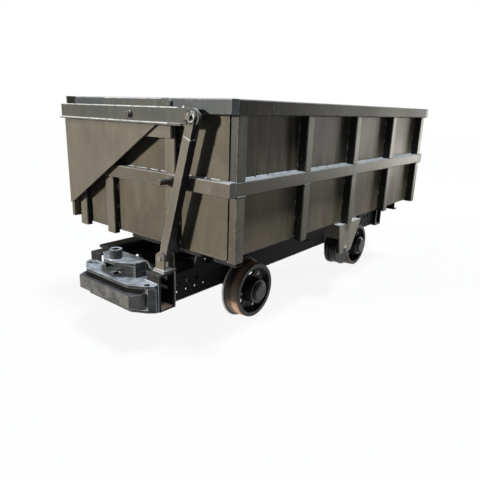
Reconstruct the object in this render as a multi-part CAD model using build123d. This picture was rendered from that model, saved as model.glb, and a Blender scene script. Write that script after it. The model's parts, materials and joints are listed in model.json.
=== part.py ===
from build123d import *
import os

# Side-tipping mine car, in millimetres. +X is the end with the coupler in view, +Y the side with the
# unloading roller, the door is on the -Y side, and the wheels stand on Z = 0.

# Load box
BOX_LENGTH = 2540
BOX_SIDE_Y = 660
BOX_TOP = 1322
BOX_BOTTOM = 556
PLATE = 8
END_TUBE = 50
SIDE_TUBE = 60
TUBE_WALL = 6
TUBE_EDGE = 5
RIM_HEIGHT = 70
RIM_END_BACK = 30
RIM_END_SLANT = 26
BAND_UP = 324
BAND_HEIGHT = 72
BAND_LESS = 4
RIB_WIDTH = 64
SIDE_RIBS = 5
RIB_BELOW = 8
END_RIB_DEPTH = 34
END_RIB_WIDTH = 76
END_RIB_BELOW = 20
END_RIB_YS = (-291, 240)
END_LAP = 8
EDGE_NOTCH = 12
BOLSTER_XS = (-1062, -380, 380, 1062)
BOLSTER_HEIGHT = 80
BOLSTER_LOW = 40
BOLSTER_STEP = 10
BOLSTER_WIDTH = 60
BOLSTER_WALL = 8
BOLSTER_END_BACK = 40

# Door on the -Y side, hung from the two end arms
DOOR_GAP = 6
DOOR_PLATE = 8
DOOR_RIB = 24
DOOR_OUT = 2
DOOR_POST_WIDTH = 50
DOOR_UP = 34
DOOR_RIM_HEIGHT = 66

# Arm, its pivot and the link at each end
PIVOT_Y = 10
PIVOT_DOWN = 85
PIVOT_PIN_R = 16
PIVOT_PIN_OUT = 22
PIN_CLEAR = 0.1
PIVOT_PLATE = 14
PIVOT_PLATE_YS = (-258, 280)
PIVOT_PLATE_DOWN = 192
PIVOT_PLATE_LESS = 4
PIVOT_PLATE_CORNER = 12
ARM_SIDE_GAP = 6
ARM_STEP = 16
ARM_WEB = 12
ARM_HEIGHT = 82
ARM_END_BACK = 12
ARM_FLANGE_REACH = 390
ARM_FLANGE_OUT = 13
ARM_FLANGE = 9
ARM_REACH = 458
ARM_EYE_SLACK = 9
ARM_BOSS_R = 34
GUSSET_DROP = 519
GUSSET_TIP = 14
GUSSET_REACH = 186
GUSSET_PLATE = 10
LINK_WIDTH = 50
LINK_DEPTH = 46
LINK_WALL = 6
CHEEK = 9
CHEEK_GAP = 2
CHEEK_LENGTH = 100
LINK_PIN_R = 14
LINK_PIN_OUT = 22
LUG_Y = 254
LUG_RISE = 71
LUG_R = 33
LUG_PLATE = 12
LUG_GAP = 3
LUG_BASE = 10
LUG_BASE_SIDE = 10
LUG_BASE_FRONT = 9
LUG_PIN_OUT = 4
STOP_Y = 255
STOP_R = 17
STOP_COLLAR_R = 28
STOP_COLLAR = 18
STOP_REACH = 80

# Underframe
BEAM_WEB_Y = 272
BEAM_TOP = 412
BEAM_HEIGHT = 160
BEAM_FLANGE = 63
BEAM_WALL = 9
HEAD_AHEAD = 87
HEAD_HALF_Y = 305
HEAD_RISE = 33
HEAD_FLANGE = 107
HEAD_WALL = 10
HEAD_POST_Y = 214
HEAD_NOTCH = 48
# Rows of round holes in the beam's web: how far the first is behind the headstock, the pitch,
# how far the row is under the beam's top, and the holes' radius
BEAM_HOLES = ((56, 70, 61, 15), (46, 69, 109, 8))
BEAM_HOLE_COUNTS = (3, 4)
CROSS_XS = (-1035, -300, 300, 1035)
CROSS_WIDTH = 70
CROSS_HEIGHT = 100
CROSS_WALL = 8
TIP_Y = -290
TIP_PIN_R = 14
TIP_LUG_R = 28
TIP_LUG = 16
TIP_PIN_OUT = 8
TIP_XS = (-900, 900)
TIP_RISE = 36
SILL_HEIGHT = 17
SILL_WIDTH = 90
SILL_END = 28
SILL_WEB = 14
REST_PLATE = 12
REST_TOP_HALF = 20
REST_FOOT_HALF = 54
EAR = 16
EAR_GAP = 6
EAR_FLARE = 2

# Running gear
WHEEL_BASE = 1406
WHEEL_OUTER_Y = 402
WHEEL_R = 170
FLANGE_R = 192.5
TREAD = 90
FLANGE = 28
FLANGE_TIP = 9
WHEEL_RIM = 25
WHEEL_WEB = 14
WHEEL_DISH = 46
WHEEL_CONE = 5
HUB_R = 82
HUB_TAPER = 6
HUB_OUT = 24
HUB_BACK = 8
HUB_BACK_R = 62
CAP_R = 60
CAP_OUT = 38
CAP_END_R = 50
CAP_END = 6
AXLE_R = 32
AXLE_SHORT = 20
SPOKES = 6
SPOKE_WIDTH = 34
SPOKE_CORNER = 9
SPOKE_ROOT = 6
PEDESTAL_WIDTH = 180
PEDESTAL_THICK = 40
PEDESTAL_EYE_R = 56
PEDESTAL_FOOT = 12
AXLE_CLEAR = 0.1

# Unloading roller under the middle rib
ROLLER_Z = 362
ROLLER_R = 105
ROLLER_FLANGE = 22
ROLLER_FLANGE_R = 112
ROLLER_INSET = 38
ROLLER_WIDTH = 84
ROLLER_AXLE_R = 20
ROLLER_AXLE_OUT = 9
BRACKET_PLATE = 12
BRACKET_CLEAR = 6
BRACKET_TOP_XS = (-200, 112)
BRACKET_FOOT_XS = (-80, 78)
BRACKET_FOOT_BELOW = 22
BRACKET_FRONT_LAP = 26

# Coupler and buffer at each end
COUPLER_PLATE = 16
COUPLER_DOWN = 48
COUPLER_FRONT = 110
COUPLER_FLAT_Y = 185
COUPLER_CORNER = 62
COUPLER_HALF_Y = 298
COUPLER_SIDE = 30
COUPLER_FOOT_BACK = 14
CHEEK_PLATE = 12
SLOT_HOLE_Y = 258
SLOT_HOLE_R = 17
BUFFER_FRONT = 134
BUFFER_HALF_Y = 222
BUFFER_BACK_Y = 252
BUFFER_CHAMFER = 50
BUFFER_GAP = 29
BUFFER_HEIGHT = 72
STEM_HALF_Y = 70
STEM_LESS = 14
PIN_AHEAD = 40
PIN_BORE_R = 21
SLEEVE_R = 34
SLEEVE_UP = 56
HITCH_RISE = 35
HITCH_PLATE = 16
HITCH_TIP = 45
HITCH_TIP_Y = 44
HITCH_SHOULDER = 15
HITCH_SHOULDER_Y = 142
HITCH_SIDE_BACK = 82
HITCH_SIDE_Y = 148
HITCH_BACK = 104
HITCH_BACK_Y = 98
HITCH_GUSSET = 12
HITCH_GUSSET_OUT = 42


# What follows from the sizes above
HALF_BOX = BOX_LENGTH / 2
END_PLATE_X = HALF_BOX - END_TUBE
SIDE_PLATE_Y = BOX_SIDE_Y - SIDE_TUBE
FLOOR_TOP = BOX_BOTTOM + PLATE
RIM_BOTTOM = BOX_TOP - RIM_HEIGHT
BAND_BOTTOM = BOX_BOTTOM + BAND_UP
BAND_TOP = BAND_BOTTOM + BAND_HEIGHT
RIB_END_X = END_PLATE_X - PLATE - RIB_WIDTH / 2
RIB_PITCH = 2 * RIB_END_X / (SIDE_RIBS - 1)
RIB_XS = [-RIB_END_X + i * RIB_PITCH for i in range(SIDE_RIBS)]
BOLSTER_BOTTOM = BOX_BOTTOM - BOLSTER_HEIGHT
BRACKET_TOP = BOX_BOTTOM - RIB_BELOW
DOOR_PLATE_Y = -BOX_SIDE_Y + DOOR_OUT + DOOR_RIB
DOOR_INNER_Y = DOOR_PLATE_Y + DOOR_PLATE
DOOR_BOTTOM = BOX_BOTTOM + DOOR_UP
END_EDGE_Y = DOOR_INNER_Y + DOOR_GAP
RIM_END_Y = END_EDGE_Y + RIM_END_BACK
PIVOT_Z = BOX_TOP - PIVOT_DOWN
PIVOT_PLATE_X = HALF_BOX + PIVOT_PLATE
ARM_INNER_X = PIVOT_PLATE_X + ARM_SIDE_GAP
ARM_WEB_X = ARM_INNER_X + ARM_STEP
ARM_OUTER_X = ARM_WEB_X + ARM_WEB
LINK_PLANE_X = ARM_OUTER_X + CHEEK_GAP + CHEEK - LINK_DEPTH / 2
ARM_TOP = PIVOT_Z + ARM_HEIGHT / 2
ARM_BOTTOM = PIVOT_Z - ARM_HEIGHT / 2
ARM_END_Y = -BOX_SIDE_Y + ARM_END_BACK
ARM_EYE_Y = PIVOT_Y + ARM_REACH
STOP_Z = BAND_BOTTOM + BAND_HEIGHT / 2
BEAM_BOTTOM = BEAM_TOP - BEAM_HEIGHT
HEAD_TOP = BEAM_TOP + HEAD_RISE
HEAD_BOTTOM = BEAM_BOTTOM - HEAD_WALL
HEAD_FRONT_X = LINK_PLANE_X + HEAD_AHEAD
HEAD_BACK_X = HEAD_FRONT_X - HEAD_FLANGE
LUG_Z = HEAD_TOP + LUG_RISE
SILL_TOP = HEAD_TOP + SILL_HEIGHT
TIP_Z = SILL_TOP + TIP_RISE
WHEEL_X = WHEEL_BASE / 2
AXLE_Z = FLANGE_R
WHEEL_INNER_Y = WHEEL_OUTER_Y - TREAD - FLANGE
ROLLER_OUTER_Y = BOX_SIDE_Y - ROLLER_INSET
COUPLER_PLATE_TOP = HEAD_TOP - COUPLER_DOWN
COUPLER_PLATE_BOTTOM = COUPLER_PLATE_TOP - COUPLER_PLATE
BUFFER_TOP = COUPLER_PLATE_BOTTOM - BUFFER_GAP
BUFFER_BOTTOM = BUFFER_TOP - BUFFER_HEIGHT
PIN_X = HEAD_FRONT_X + PIN_AHEAD
HITCH_TOP = HEAD_TOP + HITCH_RISE
HITCH_BOTTOM = HITCH_TOP - HITCH_PLATE


def block(x0, x1, y0, y1, z0, z1):
    return Pos((x0 + x1) / 2, (y0 + y1) / 2, (z0 + z1) / 2) * Box(abs(x1 - x0), abs(y1 - y0), abs(z1 - z0))


def outline(plane, points, thick):
    return extrude(plane * make_face(Polyline(*points, close=True)), thick)


def across(points, x0, x1):
    """A plate cut to a Y-Z outline, from x0 to x1."""
    return outline(Plane.YZ.offset(x0), points, x1 - x0)


def along(points, y0, y1):
    """A plate cut to an X-Z outline, from y0 to y1."""
    return outline(Plane.XZ.offset(-y1), points, y1 - y0)


def flat(points, z0, z1):
    """A plate cut to an X-Y outline, from z0 to z1."""
    return outline(Plane.XY.offset(z0), points, z1 - z0)


def rod_x(y, z, x0, x1, radius):
    return Pos((x0 + x1) / 2, y, z) * Rot(0, 90, 0) * Cylinder(radius, x1 - x0)


def rod_y(x, z, y0, y1, radius):
    return Pos(x, (y0 + y1) / 2, z) * Rot(90, 0, 0) * Cylinder(radius, y1 - y0)


def rod_z(x, y, z0, z1, radius):
    return Pos(x, y, (z0 + z1) / 2) * Cylinder(radius, z1 - z0)


def rear(piece):
    return mirror(piece, about=Plane.YZ)


def left(piece):
    return mirror(piece, about=Plane.XZ)


def both_sides(piece):
    return [piece, left(piece)]


def both_ends(pieces):
    return [*pieces, *[rear(piece) for piece in pieces]]


def channel(start, run, out, length, width, depth, wall=TUBE_WALL, caps=(0, 0)):
    """A pressed channel from start along run, its open side on the plate it is welded to, its back
    towards out with the two long edges broken, and its ends closed over the two lengths in caps."""
    plane = Plane(origin=start, x_dir=Vector(*out).cross(Vector(*run)), z_dir=run)
    full = Pos(0, depth / 2) * Rectangle(width, depth)
    full = chamfer(full.vertices().group_by(Axis.Y)[-1], TUBE_EDGE)
    hollow = Pos(0, (depth - wall) / 2) * Rectangle(width - 2 * wall, depth - wall)
    hollow_length = length - sum(caps)
    return extrude(plane * full, length) - extrude(plane.offset(caps[0]) * hollow, hollow_length)


def box_floor():
    return block(-END_PLATE_X, END_PLATE_X, END_EDGE_Y, SIDE_PLATE_Y, BOX_BOTTOM, FLOOR_TOP)


def end_plate():
    """The plate laps the side plate's end below the rim and the band, and it stops a little further
    from the door above the arm's pivot, where the door swings in."""
    notch_z = PIVOT_Z - RIM_HEIGHT
    points = [
        (END_EDGE_Y, FLOOR_TOP), (SIDE_PLATE_Y, FLOOR_TOP), (SIDE_PLATE_Y, BOX_TOP),
        (END_EDGE_Y + EDGE_NOTCH, BOX_TOP), (END_EDGE_Y + EDGE_NOTCH, notch_z), (END_EDGE_Y, notch_z),
    ]
    inner_x = END_PLATE_X - PLATE
    body = across(points, inner_x, END_PLATE_X)
    for z0, z1 in ((FLOOR_TOP, BAND_BOTTOM), (BAND_TOP, RIM_BOTTOM)):
        body += block(inner_x, END_PLATE_X, SIDE_PLATE_Y, SIDE_PLATE_Y + END_LAP, z0, z1)
    return body


def side_panel():
    reach = END_PLATE_X - PLATE
    return block(-reach, reach, SIDE_PLATE_Y - PLATE, SIDE_PLATE_Y, FLOOR_TOP, BOX_TOP)


def belt_side(z0, z1, less):
    start = (-END_PLATE_X, SIDE_PLATE_Y, (z0 + z1) / 2)
    return channel(start, (1, 0, 0), (0, 1, 0), 2 * END_PLATE_X, z1 - z0, SIDE_TUBE - less)


def belt_end(y0, z0, z1, less, caps):
    """An end belt runs on past the side plate and covers the side belt's end."""
    start = (END_PLATE_X, y0, (z0 + z1) / 2)
    length = BOX_SIDE_Y - less - y0
    return channel(start, (0, 1, 0), (1, 0, 0), length, z1 - z0, END_TUBE - less, caps=caps)


def slant(y0, y1, z0, z1):
    """The wedge that cuts a belt's door end back at its top."""
    return across([(y0, z0), (y1, z1), (y0, z1)], END_PLATE_X, HALF_BOX)


def rim_end():
    end_y = RIM_END_Y + RIM_END_SLANT
    body = belt_end(RIM_END_Y, RIM_BOTTOM, BOX_TOP, 0, (RIM_END_SLANT + TUBE_WALL, TUBE_WALL))
    return body - slant(RIM_END_Y, end_y, RIM_BOTTOM, BOX_TOP)


def band_end():
    """The end's middle band, its door end cut on a slant, with the pin that the arm comes down to."""
    y0 = END_RIB_YS[0] - END_RIB_WIDTH / 2
    face = HALF_BOX - BAND_LESS
    body = belt_end(y0, BAND_BOTTOM, BAND_TOP, BAND_LESS, (BAND_HEIGHT + TUBE_WALL, TUBE_WALL))
    body -= slant(y0, y0 + BAND_HEIGHT, BAND_BOTTOM, BAND_TOP)
    pin = rod_x(STOP_Y, STOP_Z, face, face + STOP_REACH, STOP_R)
    return body + pin + rod_x(STOP_Y, STOP_Z, face, face + STOP_COLLAR, STOP_COLLAR_R)


def side_ribs():
    """Each rib runs from the rim to just under the floor, in two lengths with the band between them."""
    runs = [(BOX_BOTTOM - RIB_BELOW, BAND_BOTTOM), (BAND_TOP, RIM_BOTTOM)]
    return [
        channel((x, SIDE_PLATE_Y, z0), (0, 0, 1), (0, 1, 0), z1 - z0, RIB_WIDTH, SIDE_TUBE - BAND_LESS)
        for x in RIB_XS for z0, z1 in runs
    ]


def end_rib(y, z0, z1):
    return channel((END_PLATE_X, y, z0), (0, 0, 1), (1, 0, 0), z1 - z0, END_RIB_WIDTH, END_RIB_DEPTH)


def end_ribs():
    foot = BOX_BOTTOM - END_RIB_BELOW
    runs = [(foot, BAND_BOTTOM), (BAND_TOP, RIM_BOTTOM)]
    corner = end_rib(END_EDGE_Y + END_RIB_WIDTH / 2, foot, RIM_BOTTOM - EDGE_NOTCH)
    return [end_rib(y, z0, z1) for y in END_RIB_YS for z0, z1 in runs] + [corner]


def bolsters():
    """Channels under the floor, lower on the hinge's side, where the box comes down."""
    step_y = TIP_Y - BOLSTER_STEP
    end_y = SIDE_PLATE_Y - BOLSTER_END_BACK
    lengths = ((-end_y, step_y, BOLSTER_LOW), (step_y, end_y, BOLSTER_HEIGHT))
    bars = []
    for x in BOLSTER_XS:
        bolster = [
            channel((x - BOLSTER_WIDTH / 2, y0, BOX_BOTTOM - height / 2), (0, 1, 0), (1, 0, 0),
                    y1 - y0, height, BOLSTER_WIDTH, BOLSTER_WALL)
            for y0, y1, height in lengths
        ]
        bars.append(bolster[0] + bolster[1])
    return bars


def hinge_ears():
    """Two ears at each tipping hinge, one on each side of the frame's lug."""
    ears = []
    flare = EAR_FLARE * TIP_LUG_R
    for x in TIP_XS:
        for side in (-1, 1):
            near = x + side * (TIP_LUG / 2 + EAR_GAP)
            x0, x1 = sorted((near, near + side * EAR))
            points = [(TIP_Y - TIP_LUG_R, TIP_Z), (TIP_Y - flare, BOX_BOTTOM),
                      (TIP_Y + flare, BOX_BOTTOM), (TIP_Y + TIP_LUG_R, TIP_Z)]
            ear = across(points, x0, x1) + rod_x(TIP_Y, TIP_Z, x0, x1, TIP_LUG_R)
            ears.append(ear - rod_x(TIP_Y, TIP_Z, x0, x1, TIP_PIN_R + PIN_CLEAR))
    return ears


def pivot_plate():
    """A plate on the rim that carries the pin the arm swings on."""
    y0, y1 = PIVOT_PLATE_YS
    foot = BOX_TOP - PIVOT_PLATE_DOWN
    top = BOX_TOP - PIVOT_PLATE_LESS
    corner = top - PIVOT_PLATE_CORNER
    points = [(y0, foot), (y1, foot), (y1, corner), (y1 - PIVOT_PLATE_CORNER, top),
              (y0 + PIVOT_PLATE_CORNER, top), (y0, corner)]
    plate = across(points, HALF_BOX, PIVOT_PLATE_X)
    return plate + rod_x(PIVOT_Y, PIVOT_Z, HALF_BOX, ARM_OUTER_X + PIVOT_PIN_OUT, PIVOT_PIN_R)


def roller_bracket():
    """Outer and inner plates under the middle rib, a top and a front plate, and the roller's axle."""
    outer_y0 = ROLLER_OUTER_Y + BRACKET_CLEAR
    inner_y1 = ROLLER_OUTER_Y - ROLLER_WIDTH - BRACKET_CLEAR
    outer_y1 = outer_y0 + BRACKET_PLATE
    inner_y0 = inner_y1 - BRACKET_PLATE
    under = BRACKET_TOP - BRACKET_PLATE
    foot = ROLLER_Z - BRACKET_FOOT_BELOW
    x0, x1 = BRACKET_TOP_XS
    f0, f1 = BRACKET_FOOT_XS
    points = [(x0, under), (f0, foot), (f1, foot), (x1, under)]
    body = along(points, outer_y0, outer_y1) + along(points, inner_y0, inner_y1)
    body += block(x0, x1, inner_y0, outer_y1, under, BRACKET_TOP)
    body += block(x0, x1, inner_y0, SIDE_PLATE_Y, BRACKET_TOP, BOX_BOTTOM)
    front_foot = ROLLER_Z + ROLLER_FLANGE_R - BRACKET_FRONT_LAP
    front_x1 = x1 - (x1 - f1) * (under - front_foot) / (under - foot)
    front = [(x1 - BRACKET_PLATE, under), (front_x1 - BRACKET_PLATE, front_foot), (front_x1, front_foot),
             (x1, under)]
    body += along(front, inner_y0, outer_y1)
    return body + rod_y(0, ROLLER_Z, inner_y0 - ROLLER_AXLE_OUT, outer_y1 + ROLLER_AXLE_OUT, ROLLER_AXLE_R)


def door_panel():
    return block(-ARM_INNER_X, ARM_INNER_X, DOOR_PLATE_Y, DOOR_INNER_Y, DOOR_BOTTOM, BOX_TOP)


def door_belt(reach, z0, z1, cap):
    start = (-reach, DOOR_PLATE_Y, (z0 + z1) / 2)
    return channel(start, (1, 0, 0), (0, -1, 0), 2 * reach, z1 - z0, DOOR_RIB + DOOR_OUT, caps=(cap, cap))


def door_rib(x, width, z0, z1):
    return channel((x, DOOR_PLATE_Y, z0), (0, 0, 1), (0, -1, 0), z1 - z0, width, DOOR_RIB)


def door_ribs():
    """The ribs in two lengths with the band between them, and a post in one length at each end."""
    rim_bottom = BOX_TOP - DOOR_RIM_HEIGHT
    runs = [(DOOR_BOTTOM, BAND_BOTTOM), (BAND_TOP, rim_bottom)]
    ribs = [door_rib(x, RIB_WIDTH, z0, z1) for x in RIB_XS[1:-1] for z0, z1 in runs]
    post = door_rib(ARM_INNER_X - DOOR_POST_WIDTH / 2, DOOR_POST_WIDTH, DOOR_BOTTOM, rim_bottom)
    return ribs + both_ends([post])


def arm():
    """The arm's web on its lower flange, and behind it the gusset that hangs down the door's edge."""
    eye_r = ARM_HEIGHT / 2
    web = block(ARM_WEB_X, ARM_OUTER_X, ARM_END_Y, ARM_EYE_Y, ARM_BOTTOM, ARM_TOP)
    web += rod_x(ARM_EYE_Y, PIVOT_Z, ARM_WEB_X, ARM_OUTER_X, eye_r)
    flange_x = ARM_OUTER_X + ARM_FLANGE_OUT
    flange_y = PIVOT_Y + ARM_FLANGE_REACH
    flange = block(ARM_INNER_X, flange_x, ARM_END_Y, flange_y, ARM_BOTTOM, ARM_BOTTOM + ARM_FLANGE)
    gusset_z = ARM_BOTTOM - GUSSET_DROP
    points = [(ARM_END_Y, ARM_BOTTOM), (ARM_END_Y, gusset_z), (ARM_END_Y + GUSSET_TIP, gusset_z),
              (PIVOT_Y + GUSSET_REACH, ARM_BOTTOM)]
    gusset = across(points, ARM_INNER_X, ARM_INNER_X + GUSSET_PLATE)
    boss = rod_x(PIVOT_Y, PIVOT_Z, ARM_INNER_X, ARM_WEB_X, ARM_BOSS_R)
    body = web + flange + gusset + boss
    body -= rod_x(PIVOT_Y, PIVOT_Z, ARM_INNER_X, ARM_OUTER_X, PIVOT_PIN_R + PIN_CLEAR)
    return body - rod_x(ARM_EYE_Y, PIVOT_Z, ARM_WEB_X, ARM_OUTER_X, LINK_PIN_R + ARM_EYE_SLACK)


def link():
    """A rectangular tube, a tongue on the lower pin and a fork with its pin round the arm's eye."""
    lean = Vector(0, ARM_EYE_Y - LUG_Y, PIVOT_Z - LUG_Z)
    length = lean.length
    turn = Vector(0, 0, 1).get_angle(lean)
    half_y, half_x = LINK_WIDTH / 2, LINK_DEPTH / 2
    tube_top = length - CHEEK_LENGTH
    body = block(-half_x, half_x, -half_y, half_y, 0, tube_top) + rod_x(0, 0, -half_x, half_x, half_y)
    body -= block(-half_x + LINK_WALL, half_x - LINK_WALL, -half_y + LINK_WALL, half_y - LINK_WALL,
                  LINK_WIDTH, tube_top)
    for side in (-1, 1):
        x0, x1 = sorted((side * half_x, side * (half_x - CHEEK)))
        body += block(x0, x1, -half_y, half_y, tube_top, length) + rod_x(0, length, x0, x1, half_y)
    body += rod_x(0, length, -half_x, half_x + LINK_PIN_OUT, LINK_PIN_R)
    body -= rod_x(0, 0, -half_x, half_x, LINK_PIN_R + PIN_CLEAR)
    return Pos(LINK_PLANE_X, LUG_Y, LUG_Z) * Rot(-turn, 0, 0) * body


def link_lugs():
    """Two round-topped lugs with the link's lower pin, on a base plate on the headstock."""
    foot = HEAD_TOP + LUG_BASE
    inner = LINK_DEPTH / 2 + LUG_GAP
    outer = inner + LUG_PLATE
    base_y = LUG_R + LUG_BASE_SIDE
    body = block(LINK_PLANE_X - outer, LINK_PLANE_X + outer + LUG_BASE_FRONT, LUG_Y - base_y, LUG_Y + base_y,
                 HEAD_TOP, foot)
    for side in (-1, 1):
        x0, x1 = sorted((LINK_PLANE_X + side * inner, LINK_PLANE_X + side * outer))
        body += block(x0, x1, LUG_Y - LUG_R, LUG_Y + LUG_R, foot, LUG_Z) + rod_x(LUG_Y, LUG_Z, x0, x1, LUG_R)
    return body + rod_x(LUG_Y, LUG_Z, LINK_PLANE_X - outer, LINK_PLANE_X + outer + LUG_PIN_OUT, LINK_PIN_R)


def side_beam():
    """A channel with its web outside and its flanges turned in, and rows of holes near its ends."""
    web = block(-HEAD_BACK_X, HEAD_BACK_X, BEAM_WEB_Y - BEAM_WALL, BEAM_WEB_Y, BEAM_BOTTOM, BEAM_TOP)
    inner = BEAM_WEB_Y - BEAM_FLANGE
    top = block(-HEAD_BACK_X, HEAD_BACK_X, inner, BEAM_WEB_Y, BEAM_TOP - BEAM_WALL, BEAM_TOP)
    low = block(-HEAD_BACK_X, HEAD_BACK_X, inner, BEAM_WEB_Y, BEAM_BOTTOM, BEAM_BOTTOM + BEAM_WALL)
    beam = web + top + low
    for count, (first, pitch, down, radius) in zip(BEAM_HOLE_COUNTS, BEAM_HOLES):
        for i in range(count):
            x = HEAD_BACK_X - first - i * pitch
            hole = rod_y(x, BEAM_TOP - down, BEAM_WEB_Y - BEAM_WALL, BEAM_WEB_Y, radius)
            beam -= hole + rear(hole)
    return beam


def headstock():
    """A channel across the end, open to the front between its two corner posts, where the coupler
    sits. Its own ends stay open."""
    web = block(HEAD_BACK_X, HEAD_BACK_X + HEAD_WALL, -HEAD_HALF_Y, HEAD_HALF_Y, HEAD_BOTTOM, HEAD_TOP)
    top = block(HEAD_BACK_X, HEAD_FRONT_X, -HEAD_HALF_Y, HEAD_HALF_Y, HEAD_TOP - HEAD_WALL, HEAD_TOP)
    top -= block(HEAD_FRONT_X - HEAD_NOTCH, HEAD_FRONT_X, -HEAD_POST_Y, HEAD_POST_Y, HEAD_TOP - HEAD_WALL,
                 HEAD_TOP)
    low = block(HEAD_BACK_X, HEAD_FRONT_X, -HEAD_HALF_Y, HEAD_HALF_Y, HEAD_BOTTOM, HEAD_BOTTOM + HEAD_WALL)
    body = web + top + low
    post = block(HEAD_FRONT_X - HEAD_WALL, HEAD_FRONT_X, HEAD_POST_Y, HEAD_HALF_Y, HEAD_BOTTOM, HEAD_TOP)
    for face in both_sides(post):
        body += face
    return body


def cross_members():
    """Channels between the beams' webs, under their top flanges."""
    inner = BEAM_WEB_Y - BEAM_WALL
    z = BEAM_TOP - BEAM_WALL - CROSS_HEIGHT / 2
    return [
        channel((x - CROSS_WIDTH / 2, -inner, z), (0, 1, 0), (1, 0, 0), 2 * inner, CROSS_HEIGHT, CROSS_WIDTH,
                CROSS_WALL)
        for x in CROSS_XS
    ]


def hinge_sill():
    """A flat bar from headstock to headstock on a web over the left beam, with the lugs and pins that
    the box tips on."""
    reach = HEAD_BACK_X + SILL_END
    sill = block(-reach, reach, TIP_Y - SILL_WIDTH / 2, TIP_Y + SILL_WIDTH / 2, HEAD_TOP, SILL_TOP)
    sill += block(-HEAD_BACK_X, HEAD_BACK_X, -BEAM_WEB_Y, -BEAM_WEB_Y + SILL_WEB, BEAM_TOP, HEAD_TOP)
    pin = TIP_LUG / 2 + EAR_GAP + EAR + TIP_PIN_OUT
    for x in TIP_XS:
        x0, x1 = x - TIP_LUG / 2, x + TIP_LUG / 2
        sill += block(x0, x1, TIP_Y - TIP_LUG_R, TIP_Y + TIP_LUG_R, SILL_TOP, TIP_Z)
        sill += rod_x(TIP_Y, TIP_Z, x0, x1, TIP_LUG_R)
        sill += rod_x(TIP_Y, TIP_Z, x - pin, x + pin, TIP_PIN_R)
    return sill


def rest_pads():
    """Plates on the right beam, wider at the foot, that the box's bolsters stand on when it is down."""
    pads = []
    for x in BOLSTER_XS:
        points = [(x - REST_FOOT_HALF, BEAM_TOP), (x + REST_FOOT_HALF, BEAM_TOP),
                  (x + REST_TOP_HALF, BOLSTER_BOTTOM), (x - REST_TOP_HALF, BOLSTER_BOTTOM)]
        pads.append(along(points, BEAM_WEB_Y - REST_PLATE, BEAM_WEB_Y))
    return pads


def pedestal():
    """The bracket under the beam that holds the axle: a foot plate and a tapered plate with an eye."""
    y1 = BEAM_WEB_Y
    y0 = y1 - PEDESTAL_THICK
    half = PEDESTAL_WIDTH / 2
    under = BEAM_BOTTOM - PEDESTAL_FOOT
    points = [(WHEEL_X - PEDESTAL_EYE_R, AXLE_Z), (WHEEL_X + PEDESTAL_EYE_R, AXLE_Z),
              (WHEEL_X + half, under), (WHEEL_X + half, BEAM_BOTTOM), (WHEEL_X - half, BEAM_BOTTOM),
              (WHEEL_X - half, under)]
    body = along(points, y0, y1) + rod_y(WHEEL_X, AXLE_Z, y0, y1, PEDESTAL_EYE_R)
    return body - rod_y(WHEEL_X, AXLE_Z, y0, y1, AXLE_R + AXLE_CLEAR)


def spoke_openings():
    """The openings between the spokes: the web's ring, less one bar along each spoke."""
    ring = Circle(WHEEL_R - WHEEL_RIM - SPOKE_ROOT) - Circle(HUB_R + SPOKE_ROOT)
    for i in range(SPOKES):
        ring -= Rot(0, 0, i * 360 / SPOKES) * Pos(WHEEL_R / 2, 0) * Rectangle(WHEEL_R, SPOKE_WIDTH)
    return chamfer(ring.vertices(), SPOKE_CORNER)


def wheel():
    """A flanged wheel with a coned tread, a deep ring, spokes, and a hub with its cap."""
    y_flange = WHEEL_INNER_Y
    y_root = WHEEL_INNER_Y + FLANGE
    y_out = WHEEL_OUTER_Y
    ring_r = WHEEL_R - WHEEL_RIM
    web_out = y_out - WHEEL_DISH
    web_in = web_out - WHEEL_WEB
    profile = Polyline(
        (AXLE_R, y_flange + HUB_BACK), (HUB_BACK_R, y_flange + HUB_BACK), (HUB_BACK_R, web_in),
        (ring_r, web_in), (ring_r, y_flange), (FLANGE_R - FLANGE_TIP, y_flange),
        (FLANGE_R, y_flange + FLANGE_TIP), (WHEEL_R + WHEEL_CONE, y_root), (WHEEL_R, y_out),
        (ring_r, y_out), (ring_r, web_out), (HUB_R, web_out), (HUB_R - HUB_TAPER, y_out + HUB_OUT),
        (CAP_R, y_out + HUB_OUT), (CAP_R, y_out + CAP_OUT), (CAP_END_R, y_out + CAP_OUT + CAP_END),
        (0, y_out + CAP_OUT + CAP_END), (0, y_out - AXLE_SHORT), (AXLE_R, y_out - AXLE_SHORT), close=True)
    body = revolve(make_face(profile), Axis.Y)
    body -= extrude(Plane.XZ.offset(-web_out) * spoke_openings(), WHEEL_WEB)
    return Pos(WHEEL_X, 0, AXLE_Z) * body


def axle():
    reach = WHEEL_OUTER_Y - AXLE_SHORT
    return rod_y(WHEEL_X, AXLE_Z, -reach, reach, AXLE_R)


def roller():
    y1 = ROLLER_OUTER_Y
    y0 = y1 - ROLLER_WIDTH
    body = rod_y(0, ROLLER_Z, y0, y1, ROLLER_R) + rod_y(0, ROLLER_Z, y0, y0 + ROLLER_FLANGE, ROLLER_FLANGE_R)
    return body - rod_y(0, ROLLER_Z, y0, y1, ROLLER_AXLE_R + AXLE_CLEAR)


def mirrored(points):
    """An outline in X and Y from its right half, given from back to front."""
    return [*points, *[(x, -y) for x, y in reversed(points)]]


def buffer_block():
    """The buffer bar with its corners cut off, its stem back to the headstock, and the pin's hole."""
    x0, x1 = HEAD_FRONT_X, HEAD_FRONT_X + BUFFER_FRONT
    points = mirrored([(x0, BUFFER_BACK_Y), (x1 - BUFFER_CHAMFER, BUFFER_BACK_Y), (x1, BUFFER_HALF_Y)])
    body = flat(points, BUFFER_BOTTOM, BUFFER_TOP)
    z0, z1 = BUFFER_BOTTOM + STEM_LESS, BUFFER_TOP - STEM_LESS
    body += block(HEAD_BACK_X + HEAD_WALL, x0, -STEM_HALF_Y, STEM_HALF_Y, z0, z1)
    return body - rod_z(PIN_X, 0, BUFFER_BOTTOM, BUFFER_TOP, PIN_BORE_R)


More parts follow.
